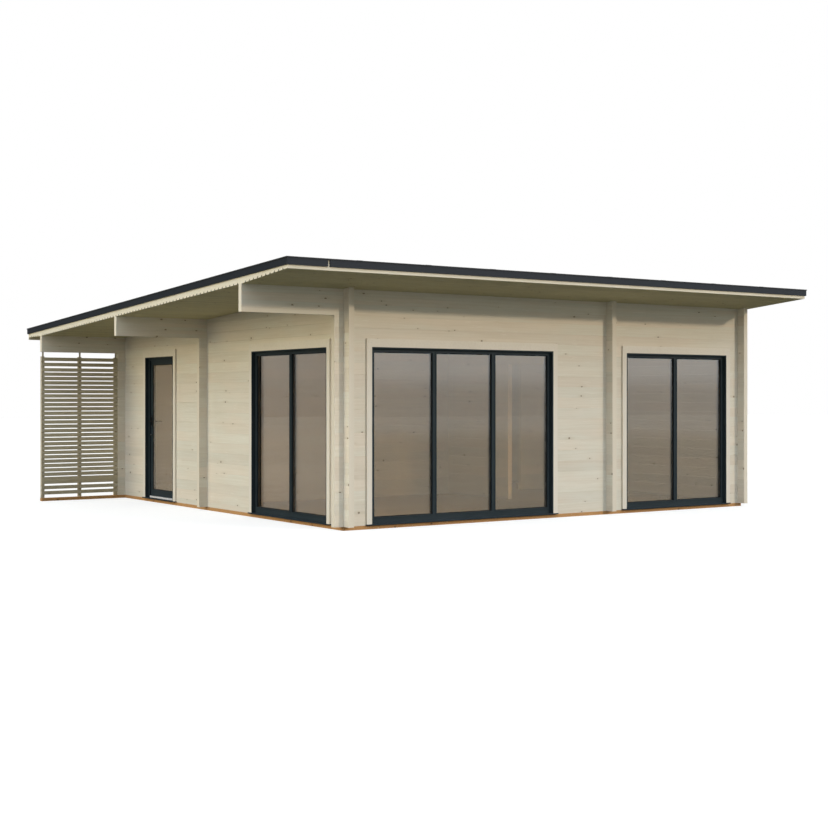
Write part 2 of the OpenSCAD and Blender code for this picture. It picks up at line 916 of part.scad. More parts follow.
module right_fascia() {
    color(dark_colour) on_site()
        along_x(right_verge_x, right_verge_x + fascia_t)
            fascia_face(front_eave_y, back_eave_y + eave_board_t);
}

module back_fascia() {
    color(dark_colour) on_site()
        along_x(left_verge_x - fascia_t, right_verge_x + fascia_t)
            fascia_face(back_eave_y + eave_board_t, back_eave_y + eave_board_t + fascia_t);
}

module back_eave_board() {
    color(log_colour) on_site()
        along_x(left_verge_x, right_verge_x)
            top_strip(back_eave_y, back_eave_y + eave_board_t, eave_back_t + eave_board_drop, cover_t);
}

// Terrace screen

screen_x = [left_verge_x, -log_end - log_fit];
screen_top_z = purlin_z(back_wall_y) - screen_gap;
upright_count = 3;
foot_slats = 3;
head_slats = 2;

// The lowest and highest slats stand a wider gap apart. The close run starts right on the low ones.
wide_pitch = slat_h + slat_wide_gap;
slat_foot_z = base_h + slat_start;
slat_close_z = slat_foot_z + (foot_slats - 1) * wide_pitch + slat_h;
close_slats = floor((screen_top_z - head_slats * wide_pitch - slat_h - slat_close_z) / slat_pitch) + 1;
slat_head_z = slat_close_z + (close_slats - 1) * slat_pitch + wide_pitch;
slat_levels = concat(
    [for (i = [0 : foot_slats - 1]) slat_foot_z + i * wide_pitch],
    [for (i = [0 : close_slats - 1]) slat_close_z + i * slat_pitch],
    [for (i = [0 : head_slats - 1]) slat_head_z + i * wide_pitch]);

// Slats on the terrace face of three uprights, which stand on the base beam
module terrace_screen() {
    color(slat_colour) on_site() {
        for (i = [0 : upright_count - 1]) {
            x = screen_x[0] + i * (screen_x[1] - screen_x[0] - upright_w) / (upright_count - 1);
            y = back_wall_y + slat_t;
            block([x, y, base_h], [x + upright_w, y + upright_d, screen_top_z]);
            block([x + (upright_w - tie_w) / 2, y, screen_top_z],
                  [x + (upright_w + tie_w) / 2, y + tie_t, screen_top_z + screen_gap]);
        }
        for (z = slat_levels)
            block([screen_x[0], back_wall_y, z], [screen_x[1], back_wall_y + slat_t, z + slat_h]);
    }
}

base_front();
base_back();
base_left();
base_right();
base_inner();
floor_joists();
floor_boards();
front_left_pier();
front_middle_pier();
front_right_pier();
front_header();
front_purlin();
left_front_pier();
left_middle_pier();
left_back_pier();
left_header();
right_wall();
back_wall();
back_purlin();
long_partition_left();
long_partition_right();
long_partition_header();
middle_purlin();
cross_partition_front();
cross_partition_back();
cross_partition_header();
front_wide_frame();
front_narrow_frame();
left_frame();
window_glass();
window_sills();
window_trim();
door_frame();
door_threshold();
door_trim();
door_hinge_pins();
door_leaf();
door_glass();
door_handle();
door_hinge_barrels();
roof_deck();
roof_covering();
front_fascia();
left_fascia();
right_fascia();
back_fascia();
back_eave_board();
terrace_screen();
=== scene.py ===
"""Dresses the garden house: its finishes, glazing and small fittings, with a camera, a floor and light."""

import logging
import math
from dataclasses import dataclass
from enum import Enum

import bmesh
import bpy
from mathutils import Matrix, Vector


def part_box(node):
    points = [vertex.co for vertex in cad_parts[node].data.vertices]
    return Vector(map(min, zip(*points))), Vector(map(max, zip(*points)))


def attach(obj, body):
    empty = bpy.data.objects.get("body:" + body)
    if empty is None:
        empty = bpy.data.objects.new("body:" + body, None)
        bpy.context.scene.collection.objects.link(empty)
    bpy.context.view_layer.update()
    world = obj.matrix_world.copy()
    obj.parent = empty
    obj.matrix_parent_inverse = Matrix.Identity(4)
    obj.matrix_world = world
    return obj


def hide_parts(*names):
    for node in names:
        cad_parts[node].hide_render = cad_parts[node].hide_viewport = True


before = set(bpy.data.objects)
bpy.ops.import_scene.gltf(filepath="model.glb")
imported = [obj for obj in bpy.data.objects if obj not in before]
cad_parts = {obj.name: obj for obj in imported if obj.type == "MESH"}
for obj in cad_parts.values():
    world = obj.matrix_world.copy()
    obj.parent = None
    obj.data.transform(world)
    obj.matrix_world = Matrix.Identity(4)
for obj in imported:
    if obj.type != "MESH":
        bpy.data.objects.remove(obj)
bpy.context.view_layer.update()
LOG = logging.getLogger("garden_house")

# Corners this near each other, in metres, are at one place. Places are compared to four decimals.
NEAR = 1e-4
DECIMALS = 4

Colour = tuple[float, float, float]
Span = tuple[float, float]
Socket = bpy.types.NodeSocket
Feed = Socket | float | tuple[float, ...]
Inputs = dict[str | int, Feed]


class Run(Enum):
    """Direction that a board or a stack of boards follows. PLAN runs along walls of both directions."""

    X = "X"
    Y = "Y"
    Z = "Z"
    PLAN = "PLAN"


class Wall(Enum):
    """Wall that a glazed light or a fastener belongs to."""

    FRONT = "front"
    LEFT = "left"

    @property
    def axes(self) -> tuple[int, int]:
        """Axis along the wall and axis through it."""
        return (0, 1) if self is Wall.FRONT else (1, 0)


class Body(Enum):
    """Moving body of the part that a piece rides on."""

    HOUSE = "house"
    DOOR = "door"


class Slot(Enum):
    """Material slot of the record that a piece takes."""

    GLASS = "clear_glass"
    FRAME = "dark_frame"
    FASCIA = "dark_fascia"
    MEMBRANE = "roof_membrane"
    ROOF_WOOD = "roof_wood"
    STEEL = "door_metal"
    DARK_METAL = "dark_metal"


def rgba(colour: Colour) -> tuple[float, float, float, float]:
    """Returns the colour with full opacity."""
    return (*colour, 1.0)


class Graph:
    """Adds nodes to one node tree and links them."""

    def __init__(self, tree: bpy.types.NodeTree) -> None:
        """Keeps the tree that the nodes go into."""
        self.tree = tree

    def feed(self, socket: Socket, value: Feed) -> None:
        """Links a socket to an input, or sets the input to a constant.

        Args:
            socket: The input to fill.
            value: Another node's output, or a constant.
        """
        if isinstance(value, bpy.types.NodeSocket):
            self.tree.links.new(value, socket)
        else:
            socket.default_value = value

    def fill(self, node: bpy.types.Node, inputs: Inputs) -> None:
        """Fills inputs of a node.

        Args:
            node: The node.
            inputs: Links and constants for its inputs, by name or number.
        """
        for key, value in inputs.items():
            self.feed(node.inputs[key], value)

    def add(self, kind: str, inputs: Inputs | None = None, **settings: object) -> bpy.types.Node:
        """Adds a node.

        Args:
            kind: Blender's type name of the node.
            inputs: Links and constants for its inputs, by name or number.
            settings: Properties to set on it before that.

        Returns:
            The new node.
        """
        node = self.tree.nodes.new(kind)
        for name, value in settings.items():
            setattr(node, name, value)
        self.fill(node, inputs or {})
        return node

    def math(self, operation: str, first: Feed, second: Feed = 0.0, clamp: bool = False) -> Socket:
        """Adds a Math node.

        Args:
            operation: Blender's name of the operation.
            first: First value.
            second: Second value.
            clamp: Whether the result is kept between 0 and 1.

        Returns:
            The result's socket.
        """
        node = self.add("ShaderNodeMath", {0: first, 1: second}, operation=operation, use_clamp=clamp)
        return node.outputs[0]

    def plus(self, first: Feed, second: Feed) -> Socket:
        """Returns the socket of the sum of two values."""
        return self.math("ADD", first, second)

    def minus(self, first: Feed, second: Feed) -> Socket:
        """Returns the socket of the first value less the second."""
        return self.math("SUBTRACT", first, second)

    def times(self, first: Feed, second: Feed) -> Socket:
        """Returns the socket of the product of two values."""
        return self.math("MULTIPLY", first, second)

    def centred(self, value: Feed) -> Socket:
        """Returns the socket of a value from 0 to 1, moved so that its middle is 0."""
        return self.minus(value, 0.5)

    def distance(self, first: Socket, second: Socket) -> Socket:
        """Returns the socket of the distance that two offsets at a right angle make."""
        squares = [self.math("POWER", self.math("ABSOLUTE", offset), 2.0) for offset in (first, second)]
        return self.math("SQRT", self.plus(*squares))

    def vector(self, x: Feed, y: Feed, z: Feed) -> Socket:
        """Returns the socket of a vector that joins three values."""
        return self.add("ShaderNodeCombineXYZ", {0: x, 1: y, 2: z}).outputs[0]

    def split(self, vector: Socket) -> tuple[Socket, ...]:
        """Returns the sockets of a vector's three values."""
        return tuple(self.add("ShaderNodeSeparateXYZ", {0: vector}).outputs)

    def ramp(self, value: Feed, low: Feed, high: Feed, start: Feed = 0.0, end: Feed = 1.0) -> Socket:
        """Adds a smooth step from one value to another.

        Args:
            value: What is read.
            low: Reading at which the step starts.
            high: Reading at which the step ends.
            start: Result below the step.
            end: Result above the step.

        Returns:
            The result's socket.
        """
        inputs = dict(enumerate((value, low, high, start, end)))
        return self.add("ShaderNodeMapRange", inputs, interpolation_type="SMOOTHSTEP").outputs[0]

    def noise(self, vector: Socket, scale: float, detail: float, roughness: float = 0.55) -> Socket:
        """Adds a noise texture.

        Args:
            vector: Where it is read.
            scale: How fine it is.
            detail: How many finer layers it has.
            roughness: How strong the finer layers are.

        Returns:
            The socket of its value.
        """
        inputs = {"Vector": vector, "Scale": scale, "Detail": detail, "Roughness": roughness}
        return self.add("ShaderNodeTexNoise", inputs).outputs[0]

    def random(self, value: Feed) -> Socket:
        """Returns the socket of a random value that is fixed for each input value."""
        return self.add("ShaderNodeTexWhiteNoise", {"W": value}, noise_dimensions="1D").outputs[0]

    def blend(self, factor: Feed, first: Feed, second: Feed) -> Socket:
        """Returns the socket of a value between two values."""
        return self.add("ShaderNodeMix", {0: factor, 2: first, 3: second}, data_type="FLOAT").outputs[0]

    def mix(self, factor: Feed, first: Feed, second: Feed, blend: str = "MIX") -> Socket:
        """Mixes two colours.

        Args:
            factor: Share of the second colour.
            first: First colour.
            second: Second colour.
            blend: How they are blended.

        Returns:
            The mixed colour's socket.
        """
        inputs = {0: factor, 6: first, 7: second}
        return self.add("ShaderNodeMix", inputs, data_type="RGBA", blend_type=blend).outputs[2]

    def mix_shaders(self, factor: Socket, first: bpy.types.Node, second: bpy.types.Node) -> bpy.types.Node:
        """Returns a node that mixes two shader nodes."""
        return self.add("ShaderNodeMixShader", {0: factor, 1: first.outputs[0], 2: second.outputs[0]})

    def bump(self, height: Socket, distance: float, strength: float) -> Socket:
        """Adds a Bump node.

        Args:
            height: Height over the surface.
            distance: What a height of 1 stands for, in metres.
            strength: How strong the bump is.

        Returns:
            The socket of the changed normal.
        """
        inputs = {"Distance": distance, "Strength": strength, "Height": height}
        return self.add("ShaderNodeBump", inputs).outputs[0]

    def place(self, group: bpy.types.NodeTree, **values: Feed) -> bpy.types.NodeOutputs:
        """Places a node group.

        Args:
            group: The group's tree.
            values: Its inputs by name.

        Returns:
            The group's outputs.
        """
        return self.add("ShaderNodeGroup", values, node_tree=group).outputs


class EffectGroup:
    """A shader node group under construction, with named inputs and outputs."""

    def __init__(self, name: str, inputs: dict[str, str], outputs: dict[str, str]) -> None:
        """Makes the group and its sockets.

        Args:
            name: Name of the group.
            inputs: Kind of each input, by its name.
            outputs: Kind of each output, by its name.
        """
        self.tree = bpy.data.node_groups.new(name, "ShaderNodeTree")
        for way, sockets in (("INPUT", inputs), ("OUTPUT", outputs)):
            for label, kind in sockets.items():
                self.tree.interface.new_socket(label, in_out=way, socket_type=f"NodeSocket{kind}")
        self.graph = Graph(self.tree)
        self.inputs = self.graph.add("NodeGroupInput").outputs
        self.outputs = self.graph.add("NodeGroupOutput").inputs


@dataclass(frozen=True)
class GrainLayer:
    """A noise that is drawn out along the grain, with the readings between which it steps from 0 to 1."""

    along: float
    across: float
    scale: float
    detail: float
    roughness: float = 0.55
    step: Span | None = None

    def draw(self, g: Graph, along: Socket, up: Socket, depth: Socket) -> Socket:
        """Adds the layer to a graph.

        Args:
            g: The graph.
            along: Place along the grain.
            up: Place up the stack of boards.
            depth: Place through the board.

        Returns:
            The socket of its value.
        """
        place = g.vector(g.times(along, self.along), g.times(up, self.across), g.times(depth, self.across))
        value = g.noise(place, self.scale, self.detail, self.roughness)
        return value if self.step is None else g.ramp(value, *self.step)


class Effects:
    """Shader node groups that several finishes share, with lengths in metres."""

    # The grain's layers, how far the drift bends it, and where the blush is read.
    DRIFT = GrainLayer(along=1.3, across=1.0, scale=2.1, detail=2.0)
    STREAK = GrainLayer(along=0.55, across=22.0, scale=2.0, detail=4.0, roughness=0.6, step=(0.34, 0.70))
    FIBRE = GrainLayer(along=5.0, across=180.0, scale=1.6, detail=3.0, roughness=0.6)
    CLOUD = GrainLayer(along=0.5, across=1.0, scale=2.6, detail=3.0)
    BLUSH = GrainLayer(along=0.35, across=1.0, scale=1.9, detail=2.0, step=(0.36, 0.64))
    FLECK = GrainLayer(along=3.0, across=34.0, scale=1.7, detail=1.0, step=(0.66, 0.74))
    BEND = 0.03
    BLUSH_SHIFT = 7.3

    # How freely knots are scattered, their smallest size and range of sizes as shares of the stated size,
    # and the stretch, inner radius and outer radius of the knot and its halo.
    KNOT_SCATTER = 0.72
    KNOT_LEAST = 0.5
    KNOT_RANGE = 0.8
    KNOT_SPOTS = {"Knot": (0.8, 0.45, 1.0), "Halo": (0.3, 0.6, 2.3)}

    # Where the heart of the rings lies beside and below the board, and how the rings waver.
    HEART_SEED = 0.37
    HEART_SIDE = 0.12
    HEART_DROP = 0.02
    HEART_RANGE = 0.05
    RING_WAVER = 0.006
    RING_NOISE = (18.0, 2.0)
    RING_STEP = (-0.2, 1.0)

    # Scale and detail of the mottling.
    SPECK_NOISE = (1.0, 3.0)
    SMUDGE_NOISE = (2.7, 4.0)

    def __init__(self) -> None:
        """Builds every group once."""
        self.boards = self._boards()
        self.grain = self._grain()
        self.knots = self._knots()
        self.rings = self._rings()
        self.patina = self._patina()

    def _boards(self) -> bpy.types.NodeTree:
        """Builds the group that numbers stacked boards and finds the joints between them.

        Returns:
            The group's tree.
        """
        group = EffectGroup(
            "Stacked boards",
            {"Reading": "Float", "Base": "Float", "Pitch": "Float", "Joint": "Float"},
            {"Number": "Float", "Place": "Float", "Tone": "Float", "Joint": "Float"},
        )
        g, given = group.graph, group.inputs
        count = g.math("DIVIDE", g.minus(given["Reading"], given["Base"]), given["Pitch"])
        number = g.math("FLOOR", count)
        place = g.math("FRACT", count)
        edge = g.math("MINIMUM", place, g.minus(1.0, place))
        g.feed(group.outputs["Number"], number)
        g.feed(group.outputs["Place"], place)
        g.feed(group.outputs["Tone"], g.random(number))
        g.feed(group.outputs["Joint"], g.ramp(edge, 0.0, given["Joint"], 1.0, 0.0))
        return group.tree

    def _grain(self) -> bpy.types.NodeTree:
        """Builds the group that draws planed grain along the first value of its vector.

        Returns:
            The group's tree.
        """
        group = EffectGroup(
            "Planed grain", {"Vector": "Vector"},
            {"Streak": "Float", "Fibre": "Float", "Cloud": "Float", "Blush": "Float", "Fleck": "Float"},
        )
        g = group.graph
        along, up, depth = g.split(group.inputs["Vector"])
        bent = g.plus(up, g.times(self.DRIFT.draw(g, along, up, depth), self.BEND))
        g.feed(group.outputs["Streak"], self.STREAK.draw(g, along, bent, depth))
        g.feed(group.outputs["Fibre"], self.FIBRE.draw(g, along, bent, depth))
        g.feed(group.outputs["Cloud"], self.CLOUD.draw(g, along, up, depth))
        g.feed(group.outputs["Blush"], self.BLUSH.draw(g, along, g.plus(up, self.BLUSH_SHIFT), depth))
        g.feed(group.outputs["Fleck"], self.FLECK.draw(g, along, bent, depth))
        return group.tree

    def _knots(self) -> bpy.types.NodeTree:
        """Builds the group that scatters small knots, each inside its own board.

        Returns:
            The group's tree.
        """
        group = EffectGroup(
            "Scattered knots",
            {"Along": "Float", "Number": "Float", "Place": "Float", "Pitch": "Float", "Spacing": "Float",
             "Share": "Float", "Size": "Float"},
            {"Knot": "Float", "Halo": "Float"},
        )
        g, given = group.graph, group.inputs
        cell_u = g.math("DIVIDE", given["Along"], given["Spacing"])
        cell_v = g.plus(given["Number"], given["Place"])
        inputs = {"Vector": g.vector(cell_u, cell_v, 0.0), "Scale": 1.0, "Randomness": self.KNOT_SCATTER}
        cells = g.add("ShaderNodeTexVoronoi", inputs, voronoi_dimensions="2D", feature="F1").outputs
        spot_u, spot_v, _ = g.split(cells["Position"])
        off_u = g.times(g.minus(cell_u, spot_u), given["Spacing"])
        off_v = g.times(g.minus(cell_v, spot_v), given["Pitch"])
        size_luck, share_luck, _ = g.add("ShaderNodeSeparateColor", {0: cells["Color"]}).outputs
        kept = g.math("LESS_THAN", share_luck, given["Share"])
        radius = g.times(given["Size"], g.plus(g.times(size_luck, self.KNOT_RANGE), self.KNOT_LEAST))
        for name, (stretch, inner, outer) in self.KNOT_SPOTS.items():
            away = g.distance(g.times(off_u, stretch), off_v)
            spot = g.ramp(away, g.times(radius, inner), g.times(radius, outer), 1.0, 0.0)
            g.feed(group.outputs[name], g.times(spot, kept))
        return group.tree

    def _rings(self) -> bpy.types.NodeTree:
        """Builds the group that draws growth rings on cut ends, round a heart that differs by board.

        Returns:
            The group's tree.
        """
        group = EffectGroup(
            "Growth rings",
            {"Across": "Float", "Up": "Float", "Number": "Float", "Width": "Float"},
            {"Ring": "Float"},
        )
        g, given = group.graph, group.inputs
        luck = g.random(g.plus(given["Number"], self.HEART_SEED))
        side = g.minus(given["Across"], g.times(g.centred(luck), self.HEART_SIDE))
        rise = g.plus(given["Up"], g.plus(g.times(luck, self.HEART_RANGE), self.HEART_DROP))
        waver = g.times(g.noise(g.vector(side, rise, given["Number"]), *self.RING_NOISE), self.RING_WAVER)
        turns = g.math("DIVIDE", g.plus(g.distance(side, rise), waver), given["Width"])
        wave = g.math("SINE", g.times(turns, 2.0 * math.pi))
        g.feed(group.outputs["Ring"], g.ramp(wave, *self.RING_STEP))
        return group.tree

    def _patina(self) -> bpy.types.NodeTree:
        """Builds the group that makes fine mottling and broad smudges.

        Returns:
            The group's tree.
        """
        group = EffectGroup(
            "Surface mottle",
            {"Vector": "Vector", "Fine": "Float"},
            {"Speck": "Float", "Smudge": "Float"},
        )
        g, given = group.graph, group.inputs
        fine = g.add("ShaderNodeVectorMath", {0: given["Vector"], "Scale": given["Fine"]}, operation="SCALE")
        g.feed(group.outputs["Speck"], g.noise(fine.outputs[0], *self.SPECK_NOISE))
        g.feed(group.outputs["Smudge"], g.noise(given["Vector"], *self.SMUDGE_NOISE))
        return group.tree


@dataclass(frozen=True)
class BoardLayout:
    """How the boards of a piece lie: the way of the grain, the way they stack and their pitch in metres."""

    along: Run
    stack: Run
    base: float
    pitch: float


class Finish:
    """Base of every finish: makes a material with one Principled shader."""

    name: str

    def start(self) -> tuple[bpy.types.Material, Graph, bpy.types.Node, Socket]:
        """Makes the empty material.

        Returns:
            The material, its graph, its Principled node and the socket of the Object coordinates.
        """
        material = bpy.data.materials.new(self.name)
        material.use_nodes = True
        graph = Graph(material.node_tree)
        shader = material.node_tree.nodes["Principled BSDF"]
        place = graph.add("ShaderNodeTexCoord").outputs["Object"]
        return material, graph, shader, place

    def build(self, effects: Effects) -> bpy.types.Material:
        """Returns the finished material."""
        raise NotImplementedError


@dataclass(frozen=True)
class WoodFinish(Finish):
    """Planed timber with grain, knots, board tones and cut ends, in shares from 0 to 1 and in metres."""

    name: str
    layout: BoardLayout
    light: Colour
    dark: Colour
    knot: Colour
    end: Colour
    edge: Colour | None = None
    blush: Colour | None = None
    fleck: Colour = (0.86, 0.83, 0.75)
    header_z: float | None = None
    tone: float = 0.09
    streak: float = 0.30
    cloud: float = 0.5
    fleck_share: float = 0.30
    knot_share: float = 0.24
    knot_size: float = 0.0145
    knot_spacing: float = 0.46
    knot_shade: float = 0.85
    halo_shade: float = 0.35
    joint: float = 0.014
    # Darkening beside each joint between boards: painted shade in the joint's groove.
    joint_painted_shade: float = 0.06
    board_shift: float = 31.0
    ring_w: float = 0.0045
    ring_shade: float = 0.4
    end_facing: float = 0.8
    edge_facing: float = 0.3
    edge_shade: float = 0.5
    roughness: float = 0.62
    roughness_range: float = 0.16
    specular: float = 0.3
    fibre_height: float = 0.5
    relief: float = 0.0012
    relief_strength: float = 0.35

    def build(self, effects: Effects) -> bpy.types.Material:
        """Returns the wood's material.

        Args:
            effects: The shared node groups.

        Returns:
            The finished material.
        """
        material, g, shader, place = self.start()
        along, stack, across = self._ways(g, place)
        pitch = self.layout.pitch
        boards = g.place(effects.boards, Reading=stack, Base=self.layout.base, Pitch=pitch, Joint=self.joint)
        shifted = g.plus(along, g.times(boards["Tone"], self.board_shift))
        grain = g.place(effects.grain, Vector=g.vector(shifted, stack, across))
        knots = g.place(
            effects.knots, Along=shifted, Number=boards["Number"], Place=boards["Place"], Pitch=pitch,
            Spacing=self.knot_spacing, Share=self.knot_share, Size=self.knot_size)
        cloud = g.times(g.centred(grain["Cloud"]), self.cloud)
        shade = g.math("ADD", g.times(grain["Streak"], self.streak), cloud, clamp=True)
        colour = self._planed(g, shade, grain, boards, knots)
        if self.layout.along is not Run.PLAN:
            up = g.times(boards["Place"], pitch)
            rings = g.place(effects.rings, Across=across, Up=up, Number=boards["Number"], Width=self.ring_w)
            colour = self._ends(g, colour, rings["Ring"])
        if self.edge is not None:
            colour = self._edges(g, colour, shade)
        lowest = self.roughness - self.roughness_range / 2
        height = g.minus(g.times(grain["Fibre"], self.fibre_height), boards["Joint"])
        g.fill(shader, {
            "Base Color": colour,
            "Roughness": g.plus(g.times(grain["Fibre"], self.roughness_range), lowest),
            "Normal": g.bump(height, self.relief, self.relief_strength),
            "Specular IOR Level": self.specular,
        })
        return material

    def _ways(self, g: Graph, place: Socket) -> tuple[Socket, Socket, Socket]:
        """Finds the places that the pattern follows.

        Args:
            g: The material's graph.
            place: The Object coordinates.

        Returns:
            The places along the grain, up the stack of boards and across the grain.
        """
        x, y, z = g.split(place)
        plan = g.plus(x, y)
        ways = {Run.X: x, Run.Y: y, Run.Z: z, Run.PLAN: plan}
        sides = {Run.X: y, Run.Y: x, Run.Z: plan, Run.PLAN: g.minus(x, y)}
        along, across = ways[self.layout.along], sides[self.layout.along]
        if self.header_z is not None:
            header = g.math("GREATER_THAN", z, self.header_z)
            along, across = g.blend(header, along, plan), g.blend(header, across, z)
        return along, ways[self.layout.stack], across

    def _planed(self, g: Graph, shade: Socket, grain: bpy.types.NodeOutputs, boards: bpy.types.NodeOutputs,
                knots: bpy.types.NodeOutputs) -> Socket:
        """Colours the planed faces.

        Args:
            g: The material's graph.
            shade: How dark the grain is.
            grain: Outputs of the grain's group.
            boards: Outputs of the boards' group.
            knots: Outputs of the knots' group.

        Returns:
            The colour's socket.
        """
        dark, knot = rgba(self.dark), rgba(self.knot)
        ground: Feed = rgba(self.light)
        if self.blush is not None:
            ground = g.mix(grain["Blush"], ground, rgba(self.blush))
        colour = g.mix(shade, ground, dark)
        colour = g.mix(g.times(grain["Fleck"], self.fleck_share), colour, rgba(self.fleck))
        tone = g.plus(g.times(g.centred(boards["Tone"]), self.tone), 1.0)
        colour = g.mix(1.0, colour, g.vector(tone, tone, tone), "MULTIPLY")
        colour = g.mix(g.times(knots["Halo"], self.halo_shade), colour, dark)
        colour = g.mix(g.times(knots["Knot"], self.knot_shade), colour, knot)
        # Painted shade in the joints between boards.
        return g.mix(g.times(boards["Joint"], self.joint_painted_shade), colour, knot)

    @staticmethod
    def _facing(g: Graph, way: Run) -> Socket:
        """Returns the socket of how far a face is turned to X, Y or Z, from 0 to 1."""
        turns = g.split(g.add("ShaderNodeNewGeometry").outputs["Normal"])
        return g.math("ABSOLUTE", dict(zip(Run, turns))[way])

    def _ends(self, g: Graph, colour: Socket, ring: Socket) -> Socket:
        """Colours the cut ends.

        Args:
            g: The material's graph.
            colour: Colour of the other faces.
            ring: How dark the growth rings are.

        Returns:
            The colour's socket.
        """
        cut = g.math("GREATER_THAN", self._facing(g, self.layout.along), self.end_facing)
        end = g.mix(g.times(ring, self.ring_shade), rgba(self.end), rgba(self.dark))
        return g.mix(cut, colour, end)

    def _edges(self, g: Graph, colour: Socket, shade: Socket) -> Socket:
        """Colours the upright edges.

        Args:
            g: The material's graph.
            colour: Colour of the other faces.
            shade: How dark the grain is.

        Returns:
            The colour's socket.
        """
        upright = g.math("LESS_THAN", self._facing(g, Run.Z), self.edge_facing)
        edge = g.mix(g.times(shade, self.edge_shade), rgba(self.edge), rgba(self.dark))
        return g.mix(upright, colour, edge)


@dataclass(frozen=True)
class CoatedFinish(Finish):
    """A smooth coat of paint or powder with a fine orange peel."""

    name: str
    colour: Colour
    worn: Colour
    roughness: float
    specular: float
    roughness_range: float = 0.2
    smudge: Span = (0.35, 0.75)
    wear: float = 0.6
    peel: float = 420.0
    relief: float = 0.00025
    relief_strength: float = 0.4

    def build(self, effects: Effects) -> bpy.types.Material:
        """Returns the coat's material.

        Args:
            effects: The shared node groups.

        Returns:
            The finished material.
        """
        material, g, shader, place = self.start()
        mottle = g.place(effects.patina, Vector=place, Fine=self.peel)
        wear = g.times(g.ramp(mottle["Smudge"], *self.smudge), self.wear)
        lowest = self.roughness - self.roughness_range / 2
        g.fill(shader, {
            "Base Color": g.mix(wear, rgba(self.colour), rgba(self.worn)),
            "Roughness": g.plus(g.times(mottle["Smudge"], self.roughness_range), lowest),
            "Normal": g.bump(mottle["Speck"], self.relief, self.relief_strength),
            "Specular IOR Level": self.specular,
        })
        return material


@dataclass(frozen=True)
class MetalFinish(Finish):
    """Brushed metal with fine lines along one direction, and the roughness between them."""

    name: str
    colour: Colour
    worn: Colour
    roughness: float
    lines: tuple[float, float, float] = (900.0, 12.0, 900.0)
    line_noise: Span = (1.0, 2.0)
    line_roughness: float = 0.25
    mottle: float = 60.0
    wear: float = 0.35
    relief: float = 0.0002
    relief_strength: float = 0.25

    def build(self, effects: Effects) -> bpy.types.Material:
        """Returns the metal's material.

        Args:
            effects: The shared node groups.

        Returns:
            The finished material.
        """
        material, g, shader, place = self.start()
        drawn = g.vector(*(g.times(way, fine) for way, fine in zip(g.split(place), self.lines)))
        lines = g.noise(drawn, *self.line_noise)
        mottle = g.place(effects.patina, Vector=place, Fine=self.mottle)
        g.fill(shader, {
            "Base Color": g.mix(g.times(mottle["Smudge"], self.wear), rgba(self.colour), rgba(self.worn)),
            "Metallic": 1.0,
            "Roughness": g.plus(g.times(lines, self.line_roughness), self.roughness),
            "Normal": g.bump(lines, self.relief, self.relief_strength),
        })
        return material


@dataclass(frozen=True)
class GlassFinish(Finish):
    """Tinted glass that lets lamp light through to the rooms, clear or satin."""

    name: str
    tint: Colour
    shade: Colour
    ior: float
    satin: float = 0.0
    veil: float = 0.0
    mottle: float = 3.0
    smudge: Span = (0.45, 0.8)
    haze: float = 0.02

    def build(self, effects: Effects) -> bpy.types.Material:
        """Returns the glass's material.

        Args:
            effects: The shared node groups.

        Returns:
            The finished material.
        """
        material, g, shader, place = self.start()
        mottle = g.place(effects.patina, Vector=place, Fine=self.mottle)
        g.fill(shader, {
            "Base Color": rgba(self.tint),
            "Roughness": g.ramp(mottle["Smudge"], *self.smudge, self.satin, self.satin + self.haze),
            "Transmission Weight": 1.0 - self.veil,
            "IOR": self.ior,
        })
        clear = g.add("ShaderNodeBsdfTransparent", {"Color": rgba(self.shade)})
        shadow = g.add("ShaderNodeLightPath").outputs["Is Shadow Ray"]
        pick = g.mix_shaders(shadow, shader, clear)
        g.fill(material.node_tree.nodes["Material Output"], {"Surface": pick.outputs[0]})
        return material


@dataclass(frozen=True)
class FeltFinish(Finish):
    """Dark roofing sheets with mineral grains, faint weather marks and darker seams."""

    name: str
    colour: Colour
    grain: Colour
    start_x: float
    sheet_w: float
    seam: float = 0.045
    seam_shade: float = 0.75
    tone: float = 0.30
    fine: float = 330.0
    specks: Span = (0.45, 0.68)
    weather: Span = (0.4, 0.75)
    weather_shade: float = 0.35
    roughness: float = 0.95
    speck_shine: float = 0.12
    relief: float = 0.0015
    relief_strength: float = 0.6

    def build(self, effects: Effects) -> bpy.types.Material:
        """Returns the roofing sheet's material.

        Args:
            effects: The shared node groups.

        Returns:
            The finished material.
        """
        material, g, shader, place = self.start()
        dark, grain = rgba(self.colour), rgba(self.grain)
        mottle = g.place(effects.patina, Vector=place, Fine=self.fine)
        specks = g.ramp(mottle["Speck"], *self.specks)
        colour = g.mix(specks, dark, grain)
        colour = g.mix(g.ramp(mottle["Smudge"], *self.weather, 0.0, self.weather_shade), colour, grain)
        across, _, _ = g.split(place)
        sheets = g.place(
            effects.boards, Reading=across, Base=self.start_x, Pitch=self.sheet_w, Joint=self.seam)
        colour = g.mix(g.times(sheets["Tone"], self.tone), colour, grain)
        colour = g.mix(g.times(sheets["Joint"], self.seam_shade), colour, dark)
        g.fill(shader, {
            "Base Color": colour,
            "Roughness": g.minus(self.roughness, g.times(specks, self.speck_shine)),
            "Normal": g.bump(mottle["Speck"], self.relief, self.relief_strength),
        })
        return material


def sheet_step(widest: float = 1.0) -> float:
    """Returns the width of a roofing sheet in metres, so that whole sheets fill the roof."""
    low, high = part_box("roof_covering")
    return (high.x - low.x) / (int((high.x - low.x) / widest) + 1)


